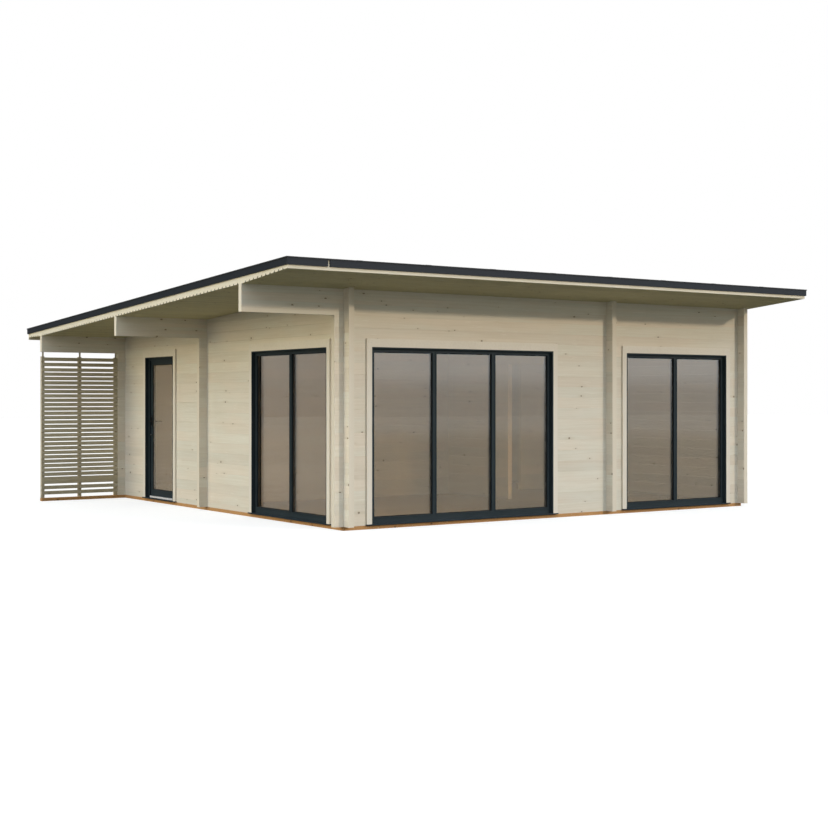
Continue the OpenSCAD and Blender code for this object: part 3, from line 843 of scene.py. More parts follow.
class Palette:
    """Every finish of the house, built once, with lengths in metres."""

    # Colours of the pale timber.
    SPRUCE_LIGHT: Colour = (0.73, 0.707, 0.625)
    SPRUCE_BLUSH: Colour = (0.75, 0.685, 0.59)
    SPRUCE_DARK: Colour = (0.60, 0.54, 0.43)
    SPRUCE_KNOT: Colour = (0.20, 0.145, 0.09)
    SPRUCE_END: Colour = (0.755, 0.70, 0.60)

    # Heights and widths of the logs, boards and slats, and the foot of the slats that lie close together.
    LOG_H = 0.136
    LAMELLA_H = LOG_H / 3
    SOFFIT_BOARD_W = 0.095
    FLOOR_BOARD_W = 0.121
    SLAT_BASE = 0.2995
    SLAT_PITCH = 0.065

    # Height of the trim's head boards, from just over their undersides, and the widths over which trim
    # boards and base beams keep one tone.
    TRIM_HEAD_H = 0.0978
    TRIM_BAND = 0.35
    BEAM_BAND = 0.2

    def __init__(self, effects: Effects) -> None:
        """Builds the materials.

        Args:
            effects: The shared node groups.
        """
        self._build_logs(effects)
        self._build_boards(effects)
        self._build_coats(effects)
        self._build_glass(effects)
        self.felt = FeltFinish(
            "Roofing sheet", (0.016, 0.017, 0.019), (0.050, 0.052, 0.055),
            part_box("roof_covering")[0].x, sheet_step()).build(effects)
        self.steel = MetalFinish(
            "Brushed steel", (0.62, 0.62, 0.63), (0.35, 0.35, 0.36), roughness=0.22).build(effects)

    def _build_logs(self, effects: Effects) -> None:
        """Builds the finishes of the log walls and the laminated beams.

        Args:
            effects: The shared node groups.
        """
        spruce = {"light": self.SPRUCE_LIGHT, "blush": self.SPRUCE_BLUSH, "dark": self.SPRUCE_DARK,
                  "knot": self.SPRUCE_KNOT, "end": self.SPRUCE_END}
        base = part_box("base_front")[1].z
        self.logs_along_front = WoodFinish(
            "Planed logs along the front", BoardLayout(Run.X, Run.Z, base, self.LOG_H),
            **spruce).build(effects)
        self.logs_along_side = WoodFinish(
            "Planed logs along the sides", BoardLayout(Run.Y, Run.Z, base + self.LOG_H / 2, self.LOG_H),
            **spruce).build(effects)
        self.laminated = WoodFinish(
            "Laminated beams", BoardLayout(Run.X, Run.Z, base, self.LAMELLA_H), tone=0.05,
            knot_share=0.10, joint=0.03, joint_painted_shade=0.10, **spruce).build(effects)

    def _build_boards(self, effects: Effects) -> None:
        """Builds the finishes of the boards, the base beams and the slats.

        Args:
            effects: The shared node groups.
        """
        knot, end = self.SPRUCE_KNOT, self.SPRUCE_END
        front_face, front_back = (corner.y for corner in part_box("base_front"))
        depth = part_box("base_back")[1].y - front_face
        soffit_pitch = depth / round(depth / self.SOFFIT_BOARD_W)
        self.trim = WoodFinish(
            "Trim boards", BoardLayout(Run.Z, Run.PLAN, 0.0, self.TRIM_BAND), (0.775, 0.735, 0.66),
            (0.66, 0.60, 0.51), knot, end, header_z=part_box("window_trim")[1].z - self.TRIM_HEAD_H, tone=0.03,
            knot_share=0.2, joint=0.0005, joint_painted_shade=0.0).build(effects)
        self.soffit = WoodFinish(
            "Soffit boards", BoardLayout(Run.X, Run.Y, front_face, soffit_pitch), (0.59, 0.55, 0.335),
            (0.45, 0.40, 0.22), knot, end=(0.76, 0.70, 0.60), edge=(0.76, 0.71, 0.59), tone=0.14,
            knot_share=0.2, joint=0.03, joint_painted_shade=0.2).build(effects)
        self.base = WoodFinish(
            "Impregnated base beams", BoardLayout(Run.PLAN, Run.Z, 0.0, self.BEAM_BAND), (0.52, 0.28, 0.11),
            (0.36, 0.17, 0.06), knot=(0.12, 0.06, 0.03), end=(0.40, 0.22, 0.10), knot_share=0.15,
            joint_painted_shade=0.0).build(effects)
        self.floor = WoodFinish(
            "Floor boards", BoardLayout(Run.X, Run.Y, front_back, self.FLOOR_BOARD_W), (0.46, 0.36, 0.24),
            (0.34, 0.25, 0.15), knot, end, tone=0.14, joint=0.02, joint_painted_shade=0.6).build(effects)
        self.slats = WoodFinish(
            "Screen slats", BoardLayout(Run.X, Run.Z, self.SLAT_BASE, self.SLAT_PITCH), (0.51, 0.455, 0.33),
            (0.41, 0.35, 0.24), knot, end=(0.56, 0.51, 0.42), tone=0.14, knot_share=0.12, joint=0.0005,
            joint_painted_shade=0.0).build(effects)

    def _build_coats(self, effects: Effects) -> None:
        """Builds the coated, rubber and plain finishes.

        Args:
            effects: The shared node groups.
        """
        self.frames = CoatedFinish(
            "Anthracite window frames", (0.022, 0.033, 0.040), (0.030, 0.042, 0.050),
            roughness=0.46, specular=0.09).build(effects)
        self.fascia = CoatedFinish(
            "Anthracite fascia", (0.010, 0.014, 0.020), (0.016, 0.019, 0.025),
            roughness=0.55, specular=0.18).build(effects)
        self.handle = CoatedFinish(
            "Black handle", (0.004, 0.004, 0.004), (0.007, 0.007, 0.007),
            roughness=0.42, specular=0.12).build(effects)
        self.rubber = CoatedFinish(
            "Black glazing seal", (0.008, 0.008, 0.008), (0.014, 0.014, 0.014),
            roughness=0.75, specular=0.2).build(effects)
        # Dark wedges on the soffit's verges: painted shadow in the board joints.
        self.painted_joint_shadow = CoatedFinish(
            "Shaded board joints", (0.045, 0.038, 0.022), (0.065, 0.055, 0.033),
            roughness=0.9, specular=0.05).build(effects)
        self.spacer = CoatedFinish(
            "Grey glazing spacer", (0.10, 0.10, 0.095), (0.14, 0.14, 0.13),
            roughness=0.6, specular=0.2).build(effects)
        self.threshold = CoatedFinish(
            "Silver threshold", (0.70, 0.71, 0.74), (0.58, 0.59, 0.61),
            roughness=0.38, specular=0.6).build(effects)

    def _build_glass(self, effects: Effects) -> None:
        """Builds the three kinds of glass.

        Args:
            effects: The shared node groups.
        """
        self.glass = GlassFinish(
            "Front glass", (0.95, 0.893, 0.79), (0.595, 0.557, 0.50), ior=1.62).build(effects)
        # The side panes take a darker tint and shade than the front glass: painted shade that darkens the view
        # through the side window.
        self.side_glass_painted_darker = GlassFinish(
            "Side glass", (0.87, 0.81, 0.715), (0.58, 0.545, 0.49), ior=1.62).build(effects)
        self.door_glass = GlassFinish(
            "Satin door glass", (0.92, 0.86, 0.78), (0.74, 0.70, 0.63), ior=1.12, satin=0.03,
            veil=0.06).build(effects)


class MeshKit:
    """Builds plain meshes and puts them in the scene as pieces."""

    # Distance within which corners are merged, in metres, the angle past which an edge is sharp, in radians,
    # and the form of a bevel.
    MERGE = 1e-5
    SHARP_ANGLE = 0.5
    BEVEL_STEPS = 2
    BEVEL_PROFILE = 0.6

    @staticmethod
    def box(mesh: bmesh.types.BMesh, low: Vector, high: Vector) -> None:
        """Adds an upright box to a mesh.

        Args:
            mesh: Where the box goes.
            low: Its lowest corner.
            high: Its highest corner.
        """
        made = bmesh.ops.create_cube(mesh, size=1.0)["verts"]
        for vert in made:
            vert.co = Vector(low[i] + (vert.co[i] + 0.5) * (high[i] - low[i]) for i in range(3))

    @staticmethod
    def solids(node: str) -> list[tuple[Vector, Vector]]:
        """Finds the separate solids of a CAD node.

        Args:
            node: Name of the node.

        Returns:
            The lowest and highest corner of each solid, in order of place.
        """
        mesh = bmesh.new()
        mesh.from_mesh(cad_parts[node].data)
        bmesh.ops.remove_doubles(mesh, verts=mesh.verts, dist=MeshKit.MERGE)
        found: list[tuple[Vector, Vector]] = []
        left = set(mesh.verts)
        while left:
            group, queue = set(), [left.pop()]
            while queue:
                vert = queue.pop()
                group.add(vert)
                near = {e.other_vert(vert) for e in vert.link_edges} & left
                left -= near
                queue.extend(near)
            found.append((Vector(min(v.co[i] for v in group) for i in range(3)),
                          Vector(max(v.co[i] for v in group) for i in range(3))))
        mesh.free()
        return sorted(found, key=lambda corners: tuple(corners[0]))

    @staticmethod
    def left_end(node: str) -> list[tuple[float, ...]]:
        """Finds the corners at the left end of a CAD node.

        Args:
            node: Name of the node.

        Returns:
            The corners, rounded so that they can be compared.
        """
        low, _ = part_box(node)
        corners = (vert.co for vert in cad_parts[node].data.vertices)
        return [tuple(round(place, DECIMALS) for place in co) for co in corners if co.x < low.x + NEAR]

    @staticmethod
    def soften(mesh: bmesh.types.BMesh, width: float) -> None:
        """Bevels every sharp edge of a mesh.

        Args:
            mesh: The mesh to change.
            width: Width of the bevel, in metres.
        """
        bmesh.ops.recalc_face_normals(mesh, faces=mesh.faces)
        sharp = [edge for edge in mesh.edges
                 if len(edge.link_faces) == 2 and edge.calc_face_angle(0.0) > MeshKit.SHARP_ANGLE]
        bmesh.ops.bevel(mesh, geom=sharp, offset=width, segments=MeshKit.BEVEL_STEPS, affect="EDGES",
                        profile=MeshKit.BEVEL_PROFILE)
        bmesh.ops.recalc_face_normals(mesh, faces=mesh.faces)

    @staticmethod
    def ride(made: bpy.types.Object, body: Body, slot: Slot) -> bpy.types.Object:
        """Puts a piece on its body and reports it.

        Args:
            made: The piece.
            body: The body that carries it.
            slot: Not used.

        Returns:
            The piece.
        """
        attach(made, body.value)
        LOG.info("%s: %d faces on %s", made.name, len(made.data.polygons), body.value)
        return made

    @staticmethod
    def piece(name: str, mesh: bmesh.types.BMesh, material: bpy.types.Material, body: Body,
              slot: Slot) -> bpy.types.Object:
        """Turns a mesh into a piece that rides on a body.

        Args:
            name: Name of the piece.
            mesh: Its shape, with its place in it.
            material: Its finish.
            body: The body that carries it.
            slot: The record's material slot.

        Returns:
            The new object.
        """
        data = bpy.data.meshes.new(name)
        mesh.to_mesh(data)
        mesh.free()
        data.materials.append(material)
        made = bpy.data.objects.new(name, data)
        bpy.context.scene.collection.objects.link(made)
        return MeshKit.ride(made, body, slot)


@dataclass
class Light:
    """One glazed light: the box of its glass, in metres."""

    wall: Wall
    low: Vector
    high: Vector

    def point(self, width: float, depth: float, height: float) -> Vector:
        """Returns a point from its place along the wall, through the wall and upwards."""
        return Vector((width, depth, height)) if self.wall is Wall.FRONT else Vector((depth, width, height))

    @property
    def span(self) -> Span:
        """Edges of the glass along its wall."""
        along, _ = self.wall.axes
        return self.low[along], self.high[along]

    @property
    def faces(self) -> Span:
        """Outer and inner face of the glass through the wall."""
        _, through = self.wall.axes
        return self.low[through], self.high[through]


@dataclass
class Glazing:
    """Double glass with spacers, seals and sash beads in one node's lights."""

    node: str
    prefix: str
    body: Body
    palette: Palette
    glass: dict[Wall, bpy.types.Material]
    hold: float = 0.012
    overlap: float = 0.001
    pane: float = 0.004
    pane_bevel: float = 0.0006
    spacer: float = 0.010
    spacer_bevel: float = 0.0008
    seal: float = 0.006
    seal_rise: float = 0.005
    seal_gap: float = 0.0002
    seal_bevel: float = 0.0015
    bead: float = 0.016
    bead_rise: float = 0.005
    bead_bevel: float = 0.0018
    frame_face: float = 0.019
    frame_back: float = 0.019

    def lights(self) -> list[Light]:
        """Returns the lights of the node, one for each of its solids."""
        found = [Light(Wall.FRONT if high.y - low.y < high.x - low.x else Wall.LEFT, low, high)
                 for low, high in MeshKit.solids(self.node)]
        return sorted(found, key=lambda light: (light.wall.value, light.span))

    def ring(self, mesh: bmesh.types.BMesh, light: Light, insets: Span, faces: Span) -> None:
        """Adds a closed rectangular ring round a light.

        Args:
            mesh: Where the ring goes.
            light: The light that it follows.
            insets: Insets of its inner and outer edge from the glass's edge.
            faces: Its outer and inner face through the wall.
        """
        (first, last), bottom, top = light.span, light.low.z, light.high.z
        (inner, outer), (near, far) = insets, faces
        loops = []
        for inset, depth in ((inner, near), (outer, near), (outer, far), (inner, far)):
            corners = ((first + inset, bottom + inset), (last - inset, bottom + inset),
                       (last - inset, top - inset), (first + inset, top - inset))
            loops.append([mesh.verts.new(light.point(w, depth, h)) for w, h in corners])
        for i, loop in enumerate(loops):
            after = loops[(i + 1) % 4]
            for k in range(4):
                n = (k + 1) % 4
                mesh.faces.new((loop[k], loop[n], after[n], after[k]))

    def build(self) -> None:
        """Makes the panes, spacers, seals and beads of every light."""
        spacers, seals, beads = (bmesh.new() for _ in range(3))
        panes = {wall: bmesh.new() for wall in self.glass}
        spacer_insets = (self.hold + self.spacer, self.overlap)
        seal_insets = (self.hold + self.seal, self.hold - self.overlap)
        bead_insets = (self.hold, self.hold - self.bead)
        for light in self.lights():
            near, far = light.faces
            first, last = light.span
            for start, end in ((near, near + self.pane), (far - self.pane, far)):
                MeshKit.box(panes[light.wall], light.point(first, start, light.low.z),
                            light.point(last, end, light.high.z))
            self.ring(spacers, light, spacer_insets, (near + self.pane, far - self.pane))
            self.ring(seals, light, seal_insets, (near - self.seal_rise, near - self.seal_gap))
            self.ring(seals, light, seal_insets, (far + self.seal_gap, far + self.seal_rise))
            face, back = near - self.frame_face, far + self.frame_back
            self.ring(beads, light, bead_insets, (face - self.bead_rise, face + self.overlap))
            self.ring(beads, light, bead_insets, (back - self.overlap, back + self.bead_rise))
        for wall, mesh in panes.items():
            MeshKit.soften(mesh, self.pane_bevel)
            made = MeshKit.piece(f"{self.prefix}_panes_{wall.value}", mesh, self.glass[wall], self.body,
                                 Slot.GLASS)
            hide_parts(self.node)
        p = self.palette
        for kind, mesh, bevel, material, slot in (
                ("spacers", spacers, self.spacer_bevel, p.spacer, Slot.STEEL),
                ("seals", seals, self.seal_bevel, p.rubber, Slot.FRAME),
                ("beads", beads, self.bead_bevel, p.frames, Slot.FRAME)):
            MeshKit.soften(mesh, bevel)
            MeshKit.piece(f"{self.prefix}_{kind}", mesh, material, self.body, slot)


class PieceTree:
    """A Geometry Nodes tree with named inputs, whose results become plain pieces."""

    def __init__(self, name: str, **inputs: str) -> None:
        """Makes an empty tree.

        Args:
            name: Name of the tree.
            inputs: Kind of each input, by its name. Every tree has an input for its material too.
        """
        self.tree = bpy.data.node_groups.new(name, "GeometryNodeTree")
        sockets = self.tree.interface
        for way in ("INPUT", "OUTPUT"):
            sockets.new_socket("Geometry", in_out=way, socket_type="NodeSocketGeometry")
        self.keys: dict[str, str] = {}
        for label, kind in (inputs | {"Material": "Material"}).items():
            made = sockets.new_socket(label, in_out="INPUT", socket_type=f"NodeSocket{kind}")
            self.keys[label] = made.identifier
        self.graph = Graph(self.tree)
        self.given = self.graph.add("NodeGroupInput").outputs

    def repeat(self, points: Socket, shape: Socket, turn: Socket | None = None) -> None:
        """Sets a shape on each point and ends the tree in real geometry with its material.

        Args:
            points: The points.
            shape: The shape.
            turn: How the shape is turned there, if it is.
        """
        g = self.graph
        turned = {} if turn is None else {"Rotation": turn}
        many = g.add("GeometryNodeInstanceOnPoints", {"Points": points, "Instance": shape} | turned)
        real = g.add("GeometryNodeRealizeInstances", {"Geometry": many.outputs["Instances"]})
        dressed = g.add("GeometryNodeSetMaterial", {
            "Geometry": real.outputs["Geometry"], "Material": self.given["Material"]})
        g.add("NodeGroupOutput", {"Geometry": dressed.outputs["Geometry"]})

    def piece(self, name: str, body: Body, slot: Slot, values: dict[str, object],
              points: list[Vector] | None = None) -> bpy.types.Object:
        """Runs the tree and keeps its result as a plain piece.

        Args:
            name: Name of the piece.
            body: The body that carries the piece.
            slot: The record's material slot.
            values: The tree's inputs, by name.
            points: Points that the tree starts from, if it needs any.

        Returns:
            The new object.
        """
        start = bpy.data.meshes.new(name)
        start.from_pydata([tuple(point) for point in points or []], [], [])
        holder = bpy.data.objects.new(name, start)
        bpy.context.scene.collection.objects.link(holder)
        modifier = holder.modifiers.new("Shape", "NODES")
        modifier.node_group = self.tree
        for label, value in values.items():
            modifier[self.keys[label]] = value
        depsgraph = bpy.context.evaluated_depsgraph_get()
        data = bpy.data.meshes.new_from_object(holder.evaluated_get(depsgraph))
        holder.modifiers.remove(modifier)
        holder.data = data
        data.name = name
        return MeshKit.ride(holder, body, slot)


class ScrewTree(PieceTree):
    """Tree that sets the head of a screw or nail on each point that it is given."""

    SEGMENTS = 16
    RINGS = 6

    def __init__(self) -> None:
        """Builds the tree."""
        super().__init__("Screws on points", Radius="Float", Rise="Float", Turn="Rotation")
        g, given = self.graph, self.given
        head = g.add("GeometryNodeMeshUVSphere", {
            "Segments": self.SEGMENTS, "Rings": self.RINGS, "Radius": given["Radius"]})
        flat = g.add("GeometryNodeTransform", {
            "Geometry": head.outputs["Mesh"], "Scale": g.vector(1.0, 1.0, given["Rise"])})
        self.repeat(given["Geometry"], flat.outputs["Geometry"], given["Turn"])


@dataclass
class ScrewField:
    """Heads of screws or nails on the faces of one wall, with their rise as a share of their radius."""

    name: str
    wall: Wall
    points: list[Vector]
    body: Body
    slot: Slot
    radius: float = 0.0045
    rise: float = 0.35

    def build(self, tree: ScrewTree, material: bpy.types.Material) -> bpy.types.Object:
        """Returns the piece with its heads.

        Args:
            tree: The shared tree.
            material: Finish of the heads.

        Returns:
            The new object.
        """
        quarter = math.pi / 2
        turn = (quarter, 0.0, 0.0) if self.wall is Wall.FRONT else (0.0, quarter, 0.0)
        values = {"Radius": self.radius, "Rise": self.rise, "Turn": turn, "Material": material}
        return tree.piece(self.name, self.body, self.slot, values, self.points)


@dataclass
class Roof:
    """Lapped seams on the roof covering, and dark wedges at the two verges that paint the shadow in the soffit
    boards' V joints.
    """

    # Width and height of a triangle in a circle of radius 1, whose middle lies a third of the height up.
    TRIANGLE_W = math.sqrt(3.0)
    TRIANGLE_H = 1.5

    palette: Palette
    cover_t: float = 0.012
    lap_w: float = 0.08
    lap_t: float = 0.003
    lap_inset: float = 0.002
    groove_w: float = 0.010
    groove_d: float = 0.005
    # Width, height and thickness of the dark wedges that paint the joint shadows.
    shadow_w: float = 0.028
    shadow_h: float = 0.022
    shadow_t: float = 0.002

    def build(self) -> None:
        """Makes the seams and the painted joint shadows."""
        self.laps()
        self.joint_shadows()

    def grooves(self) -> list[Span]:
        """Returns the place and height of the top of each groove under the roof deck."""
        under = sorted({(y, z) for _, y, z in MeshKit.left_end("roof_deck")})
        return [top for before, top, after in zip(under, under[1:], under[2:])
                if top[1] > max(before[1], after[1]) and after[0] - before[0] < 2 * self.groove_w]

    def joint_shadows(self) -> None:
        """Makes dark V-shaped wedges on the ends of the soffit boards: painted shadow in the V joints between
        them.
        """
        low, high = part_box("roof_deck")
        lift = self.shadow_h / 3 - self.groove_d
        points = [Vector((x, y, z + lift)) for x in (low.x, high.x) for y, z in self.grooves()]
        tree = PieceTree("Painted joint shadows", Width="Float", Rise="Float", Thickness="Float")
        g, given = tree.graph, tree.given
        wedge = g.add("GeometryNodeMeshCylinder", {"Vertices": 3, "Radius": 1.0, "Depth": 1.0})
        size = g.vector(g.math("DIVIDE", given["Rise"], self.TRIANGLE_H),
                        g.math("DIVIDE", given["Width"], self.TRIANGLE_W), given["Thickness"])
        upright = g.add("GeometryNodeTransform", {
            "Geometry": wedge.outputs["Mesh"], "Rotation": (0.0, -math.pi / 2, 0.0), "Scale": size})
        tree.repeat(given["Geometry"], upright.outputs["Geometry"])
        tree.piece("soffit_joint_shadows", Body.HOUSE, Slot.ROOF_WOOD, {
            "Width": self.shadow_w, "Rise": self.shadow_h, "Thickness": self.shadow_t,
            "Material": self.palette.painted_joint_shadow}, points)

    def laps(self) -> None:
        """Makes the lapped seams of the roofing sheets, sunk in by a quarter of their thickness."""
        low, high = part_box("roof_covering")
        back_z = low.z + self.cover_t
        run = high.y - low.y
        fall = math.atan2(high.z - back_z, run)
        step = sheet_step()
        middle_y, middle_z = (low.y + high.y) / 2, (high.z + back_z) / 2
        tree = PieceTree(
            "Sheet laps", Count="Int", Start="Vector", Step="Vector", Size="Vector", Turn="Rotation")
        g, given = tree.graph, tree.given
        places = {"Count": given["Count"], "Start Location": given["Start"], "Offset": given["Step"]}
        line = g.add("GeometryNodeMeshLine", places, mode="OFFSET")
        strip = g.add("GeometryNodeMeshCube", {"Size": given["Size"]})
        tree.repeat(line.outputs["Mesh"], strip.outputs["Mesh"], given["Turn"])
        tree.piece("roof_sheet_laps", Body.HOUSE, Slot.MEMBRANE, {
            "Count": round((high.x - low.x) / step) - 1,
            "Start": (low.x + step, middle_y, middle_z + self.lap_t / 4),
            "Step": (step, 0.0, 0.0),
            "Size": (self.lap_w, run / math.cos(fall) - 2 * self.lap_inset, self.lap_t),
            "Turn": (-fall, 0.0, 0.0),
            "Material": self.palette.felt})


@dataclass
class Fixings:
    """Screws of the terrace screen and the front fascia, and nails of the trim boards."""

    palette: Palette
    tree: ScrewTree
    slat_h: float = 0.052
    upright_w: float = 0.050
    uprights: int = 3
    nail_r: float = 0.0032
    board_end: float = 0.06
    board_step: float = 0.42
    board_face: float = 0.001
    fascia_step: float = 0.55

    @staticmethod
    def spread(first: float, last: float, margin: float, step: float) -> list[float]:
        """Spaces places evenly between two ends.

        Args:
            first: The first end.
            last: The last end.
            margin: How far the outer places are from the ends.
            step: About how far the places are apart.

        Returns:
            The places.
        """
        length = last - first - 2 * margin
        gaps = max(1, round(length / step))
        return [first + margin + i * length / gaps for i in range(gaps + 1)]

    def slats(self) -> list[float]:
        """Reads the slats from the free left end of the screen.

        Returns:
            The middle height of each slat.
        """
        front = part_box("terrace_screen")[0].y + NEAR
        edges = {z for _, y, z in MeshKit.left_end("terrace_screen") if y < front}
        return [z + self.slat_h / 2 for z in sorted(edges) if round(z + self.slat_h, DECIMALS) in edges]

    def screen(self) -> list[Vector]:
        """Finds the screws that hold the slats on their uprights.

        Returns:
            The places on the slats' front faces.
        """
        low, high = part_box("terrace_screen")
        step = (high.x - low.x - self.upright_w) / (self.uprights - 1)
        return [Vector((low.x + self.upright_w / 2 + i * step, low.y, z))
                for z in self.slats() for i in range(self.uprights)]

    def boards(self, node: str, wall: Wall) -> list[Vector]:
        """Finds the nails of a node's outer trim boards on one wall.

        Args:
            node: Name of the trim's node.
            wall: The wall.

        Returns:
            A place on the outer face for each nail.
        """
        found: list[Vector] = []
        across, through = wall.axes
        solids = MeshKit.solids(node)
        face = min(low[through] for low, _ in solids)
        for low, high in solids:
            if low[through] > face + self.board_face:
                continue
            upright = high.z - low.z > high[across] - low[across]
            ends = (low.z, high.z) if upright else (low[across], high[across])
            for place in self.spread(*ends, self.board_end, self.board_step):
                point = (low + high) / 2
                point[2 if upright else across] = place
                point[through] = face
                found.append(point)
        return found

    def fascia(self) -> list[Vector]:
        """Returns the places of the screws along the front fascia's outer face."""
        return [Vector((x, low.y, (low.z + high.z) / 2)) for low, high in MeshKit.solids("front_fascia")
                for x in self.spread(low.x, high.x, self.board_end, self.fascia_step)]

    def build(self) -> None:
        """Makes the screws and nails."""
        p = self.palette
        screws = ScrewField("screen_screws", Wall.FRONT, self.screen(), Body.HOUSE, Slot.STEEL)
        screws.build(self.tree, p.steel)
        for node, walls in {"window_trim": (Wall.FRONT, Wall.LEFT), "door_trim": (Wall.LEFT,)}.items():
            for wall in walls:
                nails = ScrewField(f"{node}_nails_{wall.value}", wall, self.boards(node, wall), Body.HOUSE,
                                   Slot.STEEL, self.nail_r)
                nails.build(self.tree, p.steel)
        screws = ScrewField("front_fascia_screws", Wall.FRONT, self.fascia(), Body.HOUSE, Slot.FASCIA)
        screws.build(self.tree, p.fascia)


@dataclass
class DoorFittings:
    """Lock cylinders, and the screws of the handle plates and the hinges."""

    palette: Palette
    tree: ScrewTree
    stile_w: float = 0.085
    handle_z: float = 1.190
    lock_drop: float = 0.200
    lock_out: float = 0.012
    plate_t: float = 0.008
    plate_screw: float = 0.072
    screw_r: float = 0.004
    cylinder_r: float = 0.0085
    cylinder_rise: float = 0.0025
    cylinder_sunk: float = 0.001
    cylinder_sides: int = 32
    cylinder_bevel: float = 0.0006
    keyway: Span = (0.0016, 0.0095)
    keyway_sunk: float = 0.001
    keyway_rise: float = 0.0004
    keyway_bevel: float = 0.0002
    hinge_plate_t: float = 0.003
    hinge_screw_in: float = 0.012
    hinge_screw_up: Span = (0.012, 0.028)

    def cylinders(self, y: float, faces: Span) -> None:
        """Makes a lock cylinder on each face of the leaf, with a black box in its keyway that paints the
        keyway's shade.

        Args:
            y: Middle of the lock along the wall.
            faces: Outer and inner face of the leaf.
        """
        bodies, keyway_shadows = bmesh.new(), bmesh.new()
        z = self.handle_z - self.lock_drop
        half_w, half_h = (size / 2 for size in self.keyway)
        for face, side in zip(faces, (-1.0, 1.0)):
            rose = face + side * self.lock_out
            middle = Vector((rose + side * (self.cylinder_rise - self.cylinder_sunk) / 2, y, z))
            turn = Matrix.Translation(middle) @ Matrix.Rotation(math.pi / 2, 4, "Y")
            bmesh.ops.create_cone(
                bodies, cap_ends=True, segments=self.cylinder_sides, radius1=self.cylinder_r,
                radius2=self.cylinder_r, depth=self.cylinder_rise + self.cylinder_sunk, matrix=turn)
            end = rose + side * self.cylinder_rise
            near, far = sorted((end - side * self.keyway_sunk, end + side * self.keyway_rise))
            # A black box in the keyway: painted shade of the slot.
            MeshKit.box(keyway_shadows, Vector((near, y - half_w, z - half_h)),
                        Vector((far, y + half_w, z + half_h)))
        MeshKit.soften(bodies, self.cylinder_bevel)
        MeshKit.soften(keyway_shadows, self.keyway_bevel)
        MeshKit.piece("door_lock_cylinders", bodies, self.palette.steel, Body.DOOR, Slot.STEEL)
        MeshKit.piece("door_lock_keyway_shadows", keyway_shadows, self.palette.handle, Body.DOOR, Slot.DARK_METAL)

    def hinge_screws(self, node: str, plates_after: bool) -> list[Vector]:
        """Finds the places of two screws on each hinge plate of a node.

        Args:
            node: Name of the hinge halves' node.
            plates_after: Whether the plates lie after the hinge line along the wall, not before it.

        Returns:
            The places on the plates' inner faces.
        """
        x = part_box("door_leaf")[1].x + self.hinge_plate_t
        found: list[Vector] = []
        for low, high in MeshKit.solids(node):
            y = high.y - self.hinge_screw_in if plates_after else low.y + self.hinge_screw_in
            found.extend(Vector((x, y, low.z + up)) for up in self.hinge_screw_up)
        return found

    def build(self) -> None:
        """Makes the fittings."""
        low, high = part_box("door_leaf")
        y = high.y - self.stile_w / 2
        self.cylinders(y, (low.x, high.x))
        plates = [Vector((face, y, self.handle_z + rise))
                  for face in (low.x - self.plate_t, high.x + self.plate_t)
                  for rise in (-self.plate_screw, self.plate_screw)]
        for name, points, body in (
                ("door_handle_screws", plates, Body.DOOR),
                ("door_hinge_leaf_screws", self.hinge_screws("door_hinge_barrels", True), Body.DOOR),
                ("door_hinge_frame_screws", self.hinge_screws("door_hinge_pins", False), Body.HOUSE)):
            screws = ScrewField(name, Wall.LEFT, points, body, Slot.STEEL, self.screw_r)
            screws.build(self.tree, self.palette.steel)


@dataclass
class HouseDress:
    """Finishes of the CAD nodes."""

    palette: Palette

    def timber(self, name: str) -> bpy.types.Material:
        """Picks the finish of a wall, beam or joist.

        Args:
            name: Name of its node.

        Returns:
            The finish.
        """
        p = self.palette
        if name.startswith("base_") or name == "floor_joists":
            return p.base
        if name.endswith("_purlin"):
            return p.laminated
        if name.startswith(("left_", "cross_")) or name == "right_wall":
            return p.logs_along_side
        return p.logs_along_front

    def build(self) -> None:
        """Gives every node its finish."""
        p = self.palette
        finishes = {
            "floor_boards": p.floor, "window_trim": p.trim, "door_trim": p.trim, "terrace_screen": p.slats,
            "roof_deck": p.soffit, "back_eave_board": p.soffit, "roof_covering": p.felt,
            "window_glass": p.glass, "door_glass": p.door_glass, "door_threshold": p.threshold,
            "door_handle": p.handle, "door_hinge_pins": p.steel, "door_hinge_barrels": p.steel,
        }
        for name in ("front_wide_frame", "front_narrow_frame", "left_frame", "window_sills", "door_frame",
                     "door_leaf"):
            finishes[name] = p.frames
        for side in ("front", "left", "right", "back"):
            finishes[f"{side}_fascia"] = p.fascia
        for name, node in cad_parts.items():
            finish = finishes.get(name) or self.timber(name)
            node.data.materials.clear()
            node.data.materials.append(finish)
            LOG.info("%s: %s", name, finish.name)


@dataclass(frozen=True)
class StudioLamp:
    """A far lamp, turned from the front towards the right and raised above the horizon, in degrees."""

    name: str
    strength: float
    spread: float
    turn: float
    height: float
    colour: Colour

    def build(self) -> bpy.types.Object:
        """Makes the lamp.

        Returns:
            The new object.
        """
        data = bpy.data.lights.new(self.name, "SUN")
        data.energy = self.strength
        data.angle = math.radians(self.spread)
        data.color = self.colour
        lamp = bpy.data.objects.new(self.name, data)
        turn, height = math.radians(self.turn), math.radians(self.height)
        level = math.cos(height)
        towards = Vector((-math.sin(turn) * level, math.cos(turn) * level, -math.sin(height)))
        lamp.rotation_euler = towards.to_track_quat("-Z", "Y").to_euler()
        bpy.context.scene.collection.objects.link(lamp)
        return lamp


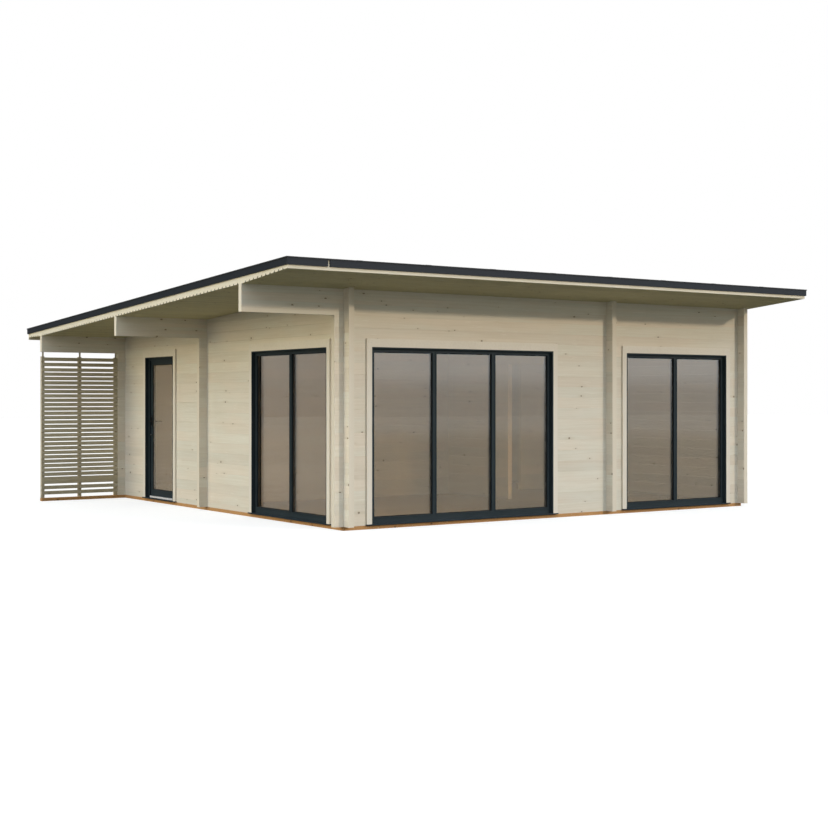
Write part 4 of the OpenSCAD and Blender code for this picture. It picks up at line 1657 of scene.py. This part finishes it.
@dataclass
class Studio:
    """Camera, floor, world and lamps, in metres and degrees, with the photograph's places in pixels."""

    camera_at: tuple[float, float, float] = (-11.090, -16.768, 1.545)
    camera_turn: float = -34.229
    image_px: float = 828.0
    focal_px: float = 1391.0
    horizon_px: float = 397.38
    sensor_mm: float = 36.0
    sight: float = 500.0
    sky: float = 0.688
    sky_colour: Colour = (1.0, 0.99, 0.852)
    backdrop: Colour = (1.0, 1.0, 1.0)
    lamps: tuple[StudioLamp, ...] = (
        StudioLamp("Front sun", 1.037, 3.0, 26.0, 16.5, (1.0, 0.804, 0.571)),
        StudioLamp("Left low light", 0.983, 30.0, -105.0, 8.0, (1.0, 0.813, 0.40)),
        StudioLamp("Left softlight", 0.70, 60.0, -80.0, 20.0, (0.98, 0.954, 1.0)),
        StudioLamp("Front skylight", 1.068, 60.0, 20.0, 45.0, (0.5, 0.7, 1.0)),
        StudioLamp("Left skylight", 0.949, 60.0, -95.0, 45.0, (0.5, 0.7, 1.0)),
    )
    mirrored_sky: Span = (2.0, 0.30)
    mirrored_turn: Span = (-0.6, 0.6)
    mirrored_colour: Colour = (0.94, 1.0, 1.06)
    mirrored_haze: float = 0.40
    mirrored_haze_rise: float = 0.022
    mirrored_ground: Span = (26.0, 62.0)
    floor_side: float = 160.0
    floor_glow: float = 0.72
    floor_colour: Colour = (0.36, 0.36, 0.36)
    ground_colour: Colour = (0.12, 0.115, 0.10)

    def build(self) -> None:
        """Makes the studio."""
        self._camera()
        self._world()
        for lamp in self.lamps:
            lamp.build()
        self._floor()
        bpy.context.scene.view_settings.view_transform = "Standard"

    def _camera(self) -> None:
        """Makes the camera at the photograph's place."""
        data = bpy.data.cameras.new("Camera")
        data.sensor_width = self.sensor_mm
        data.lens = self.sensor_mm * self.focal_px / self.image_px
        data.shift_y = (self.horizon_px - self.image_px / 2) / self.image_px
        data.clip_end = self.sight
        camera = bpy.data.objects.new("Camera", data)
        camera.location = self.camera_at
        camera.rotation_euler = (math.pi / 2, 0.0, math.radians(self.camera_turn))
        bpy.context.scene.collection.objects.link(camera)
        bpy.context.scene.camera = camera

    @staticmethod
    def _seen(g: Graph) -> Socket:
        """Returns the socket that is 1 for rays that show the backdrop, also through glass."""
        path = g.add("ShaderNodeLightPath").outputs
        return g.math("MAXIMUM", path["Is Camera Ray"], path["Is Transmission Ray"])

    @staticmethod
    def _glossy(g: Graph) -> Socket:
        """Returns the socket that is 1 for rays that show what a surface mirrors."""
        return g.add("ShaderNodeLightPath").outputs["Is Glossy Ray"]

    def _mirrored(self, g: Graph, ahead: Socket) -> Socket:
        """Finds the light that the glass mirrors, which is brighter before the house than behind it.

        Args:
            g: The graph of the world or the floor.
            ahead: How far the direction points to the back, from -1 to 1.

        Returns:
            The strength's socket.
        """
        return g.ramp(ahead, *self.mirrored_turn, *self.mirrored_sky)

    def _world(self) -> None:
        """Makes an even sky that shows as white."""
        world = bpy.data.worlds.new("Studio sky")
        bpy.context.scene.world = world
        world.use_nodes = True
        g = Graph(world.node_tree)
        _, ahead, up = g.split(g.add("ShaderNodeTexCoord").outputs["Generated"])
        haze = g.ramp(up, 0.0, self.mirrored_haze_rise, self.mirrored_haze, 1.0)
        mirrored = g.times(self._mirrored(g, ahead), haze)
        glossy, seen = self._glossy(g), self._seen(g)
        colour = g.mix(glossy, rgba(self.sky_colour), rgba(self.mirrored_colour))
        g.fill(world.node_tree.nodes["Background"], {
            "Color": g.mix(seen, colour, rgba(self.backdrop)),
            "Strength": g.blend(seen, g.blend(glossy, self.sky, mirrored), 1.0),
        })

    def _floor(self) -> None:
        """Makes a pale floor that takes the shadow of the house."""
        mesh = bmesh.new()
        bmesh.ops.create_grid(mesh, x_segments=1, y_segments=1, size=self.floor_side / 2)
        data = bpy.data.meshes.new("Floor")
        mesh.to_mesh(data)
        mesh.free()
        data.materials.append(self._floor_finish())
        floor = bpy.data.objects.new("Floor", data)
        bpy.context.scene.collection.objects.link(floor)

    def _floor_finish(self) -> bpy.types.Material:
        """Makes the floor's material, which is pale in sight and mirrored as ground that fades to haze.

        Returns:
            The material.
        """
        material = bpy.data.materials.new("Pale floor")
        material.use_nodes = True
        nodes = material.node_tree.nodes
        nodes.remove(nodes["Principled BSDF"])
        g = Graph(material.node_tree)
        glow = g.add("ShaderNodeEmission", {"Strength": self.floor_glow})
        pale = g.add("ShaderNodeBsdfDiffuse", {"Color": rgba(self.floor_colour)})
        shown = g.add("ShaderNodeAddShader", {0: glow.outputs[0], 1: pale.outputs[0]})
        ground = g.add("ShaderNodeBsdfDiffuse", {"Color": rgba(self.ground_colour)})
        place = g.add("ShaderNodeTexCoord").outputs["Object"]
        away = g.add("ShaderNodeVectorMath", {0: place}, operation="LENGTH").outputs["Value"]
        far = g.times(g.ramp(away, *self.mirrored_ground), self._glossy(g))
        _, behind, _ = g.split(place)
        ahead = g.math("DIVIDE", behind, g.math("MAXIMUM", away, 1.0))
        haze = g.add("ShaderNodeEmission", {
            "Color": rgba(self.mirrored_colour),
            "Strength": g.times(self._mirrored(g, ahead), self.mirrored_haze)})
        pick = g.mix_shaders(self._seen(g), g.mix_shaders(far, ground, haze), shown)
        g.fill(nodes["Material Output"], {"Surface": pick.outputs[0]})
        return material


def main() -> None:
    """Builds the dressed house and the studio."""
    logging.basicConfig(level=logging.INFO, format="%(message)s")
    palette = Palette(Effects())
    HouseDress(palette).build()
    Glazing("window_glass", "window", Body.HOUSE, palette,
            {Wall.FRONT: palette.glass, Wall.LEFT: palette.side_glass_painted_darker}).build()
    Glazing("door_glass", "door", Body.DOOR, palette, {Wall.LEFT: palette.door_glass}, bead=0.014,
            frame_face=0.010, frame_back=0.010, bead_rise=0.003).build()
    Roof(palette).build()
    screws = ScrewTree()
    Fixings(palette, screws).build()
    DoorFittings(palette, screws).build()
    Studio().build()


if __name__ == "__main__":
    main()
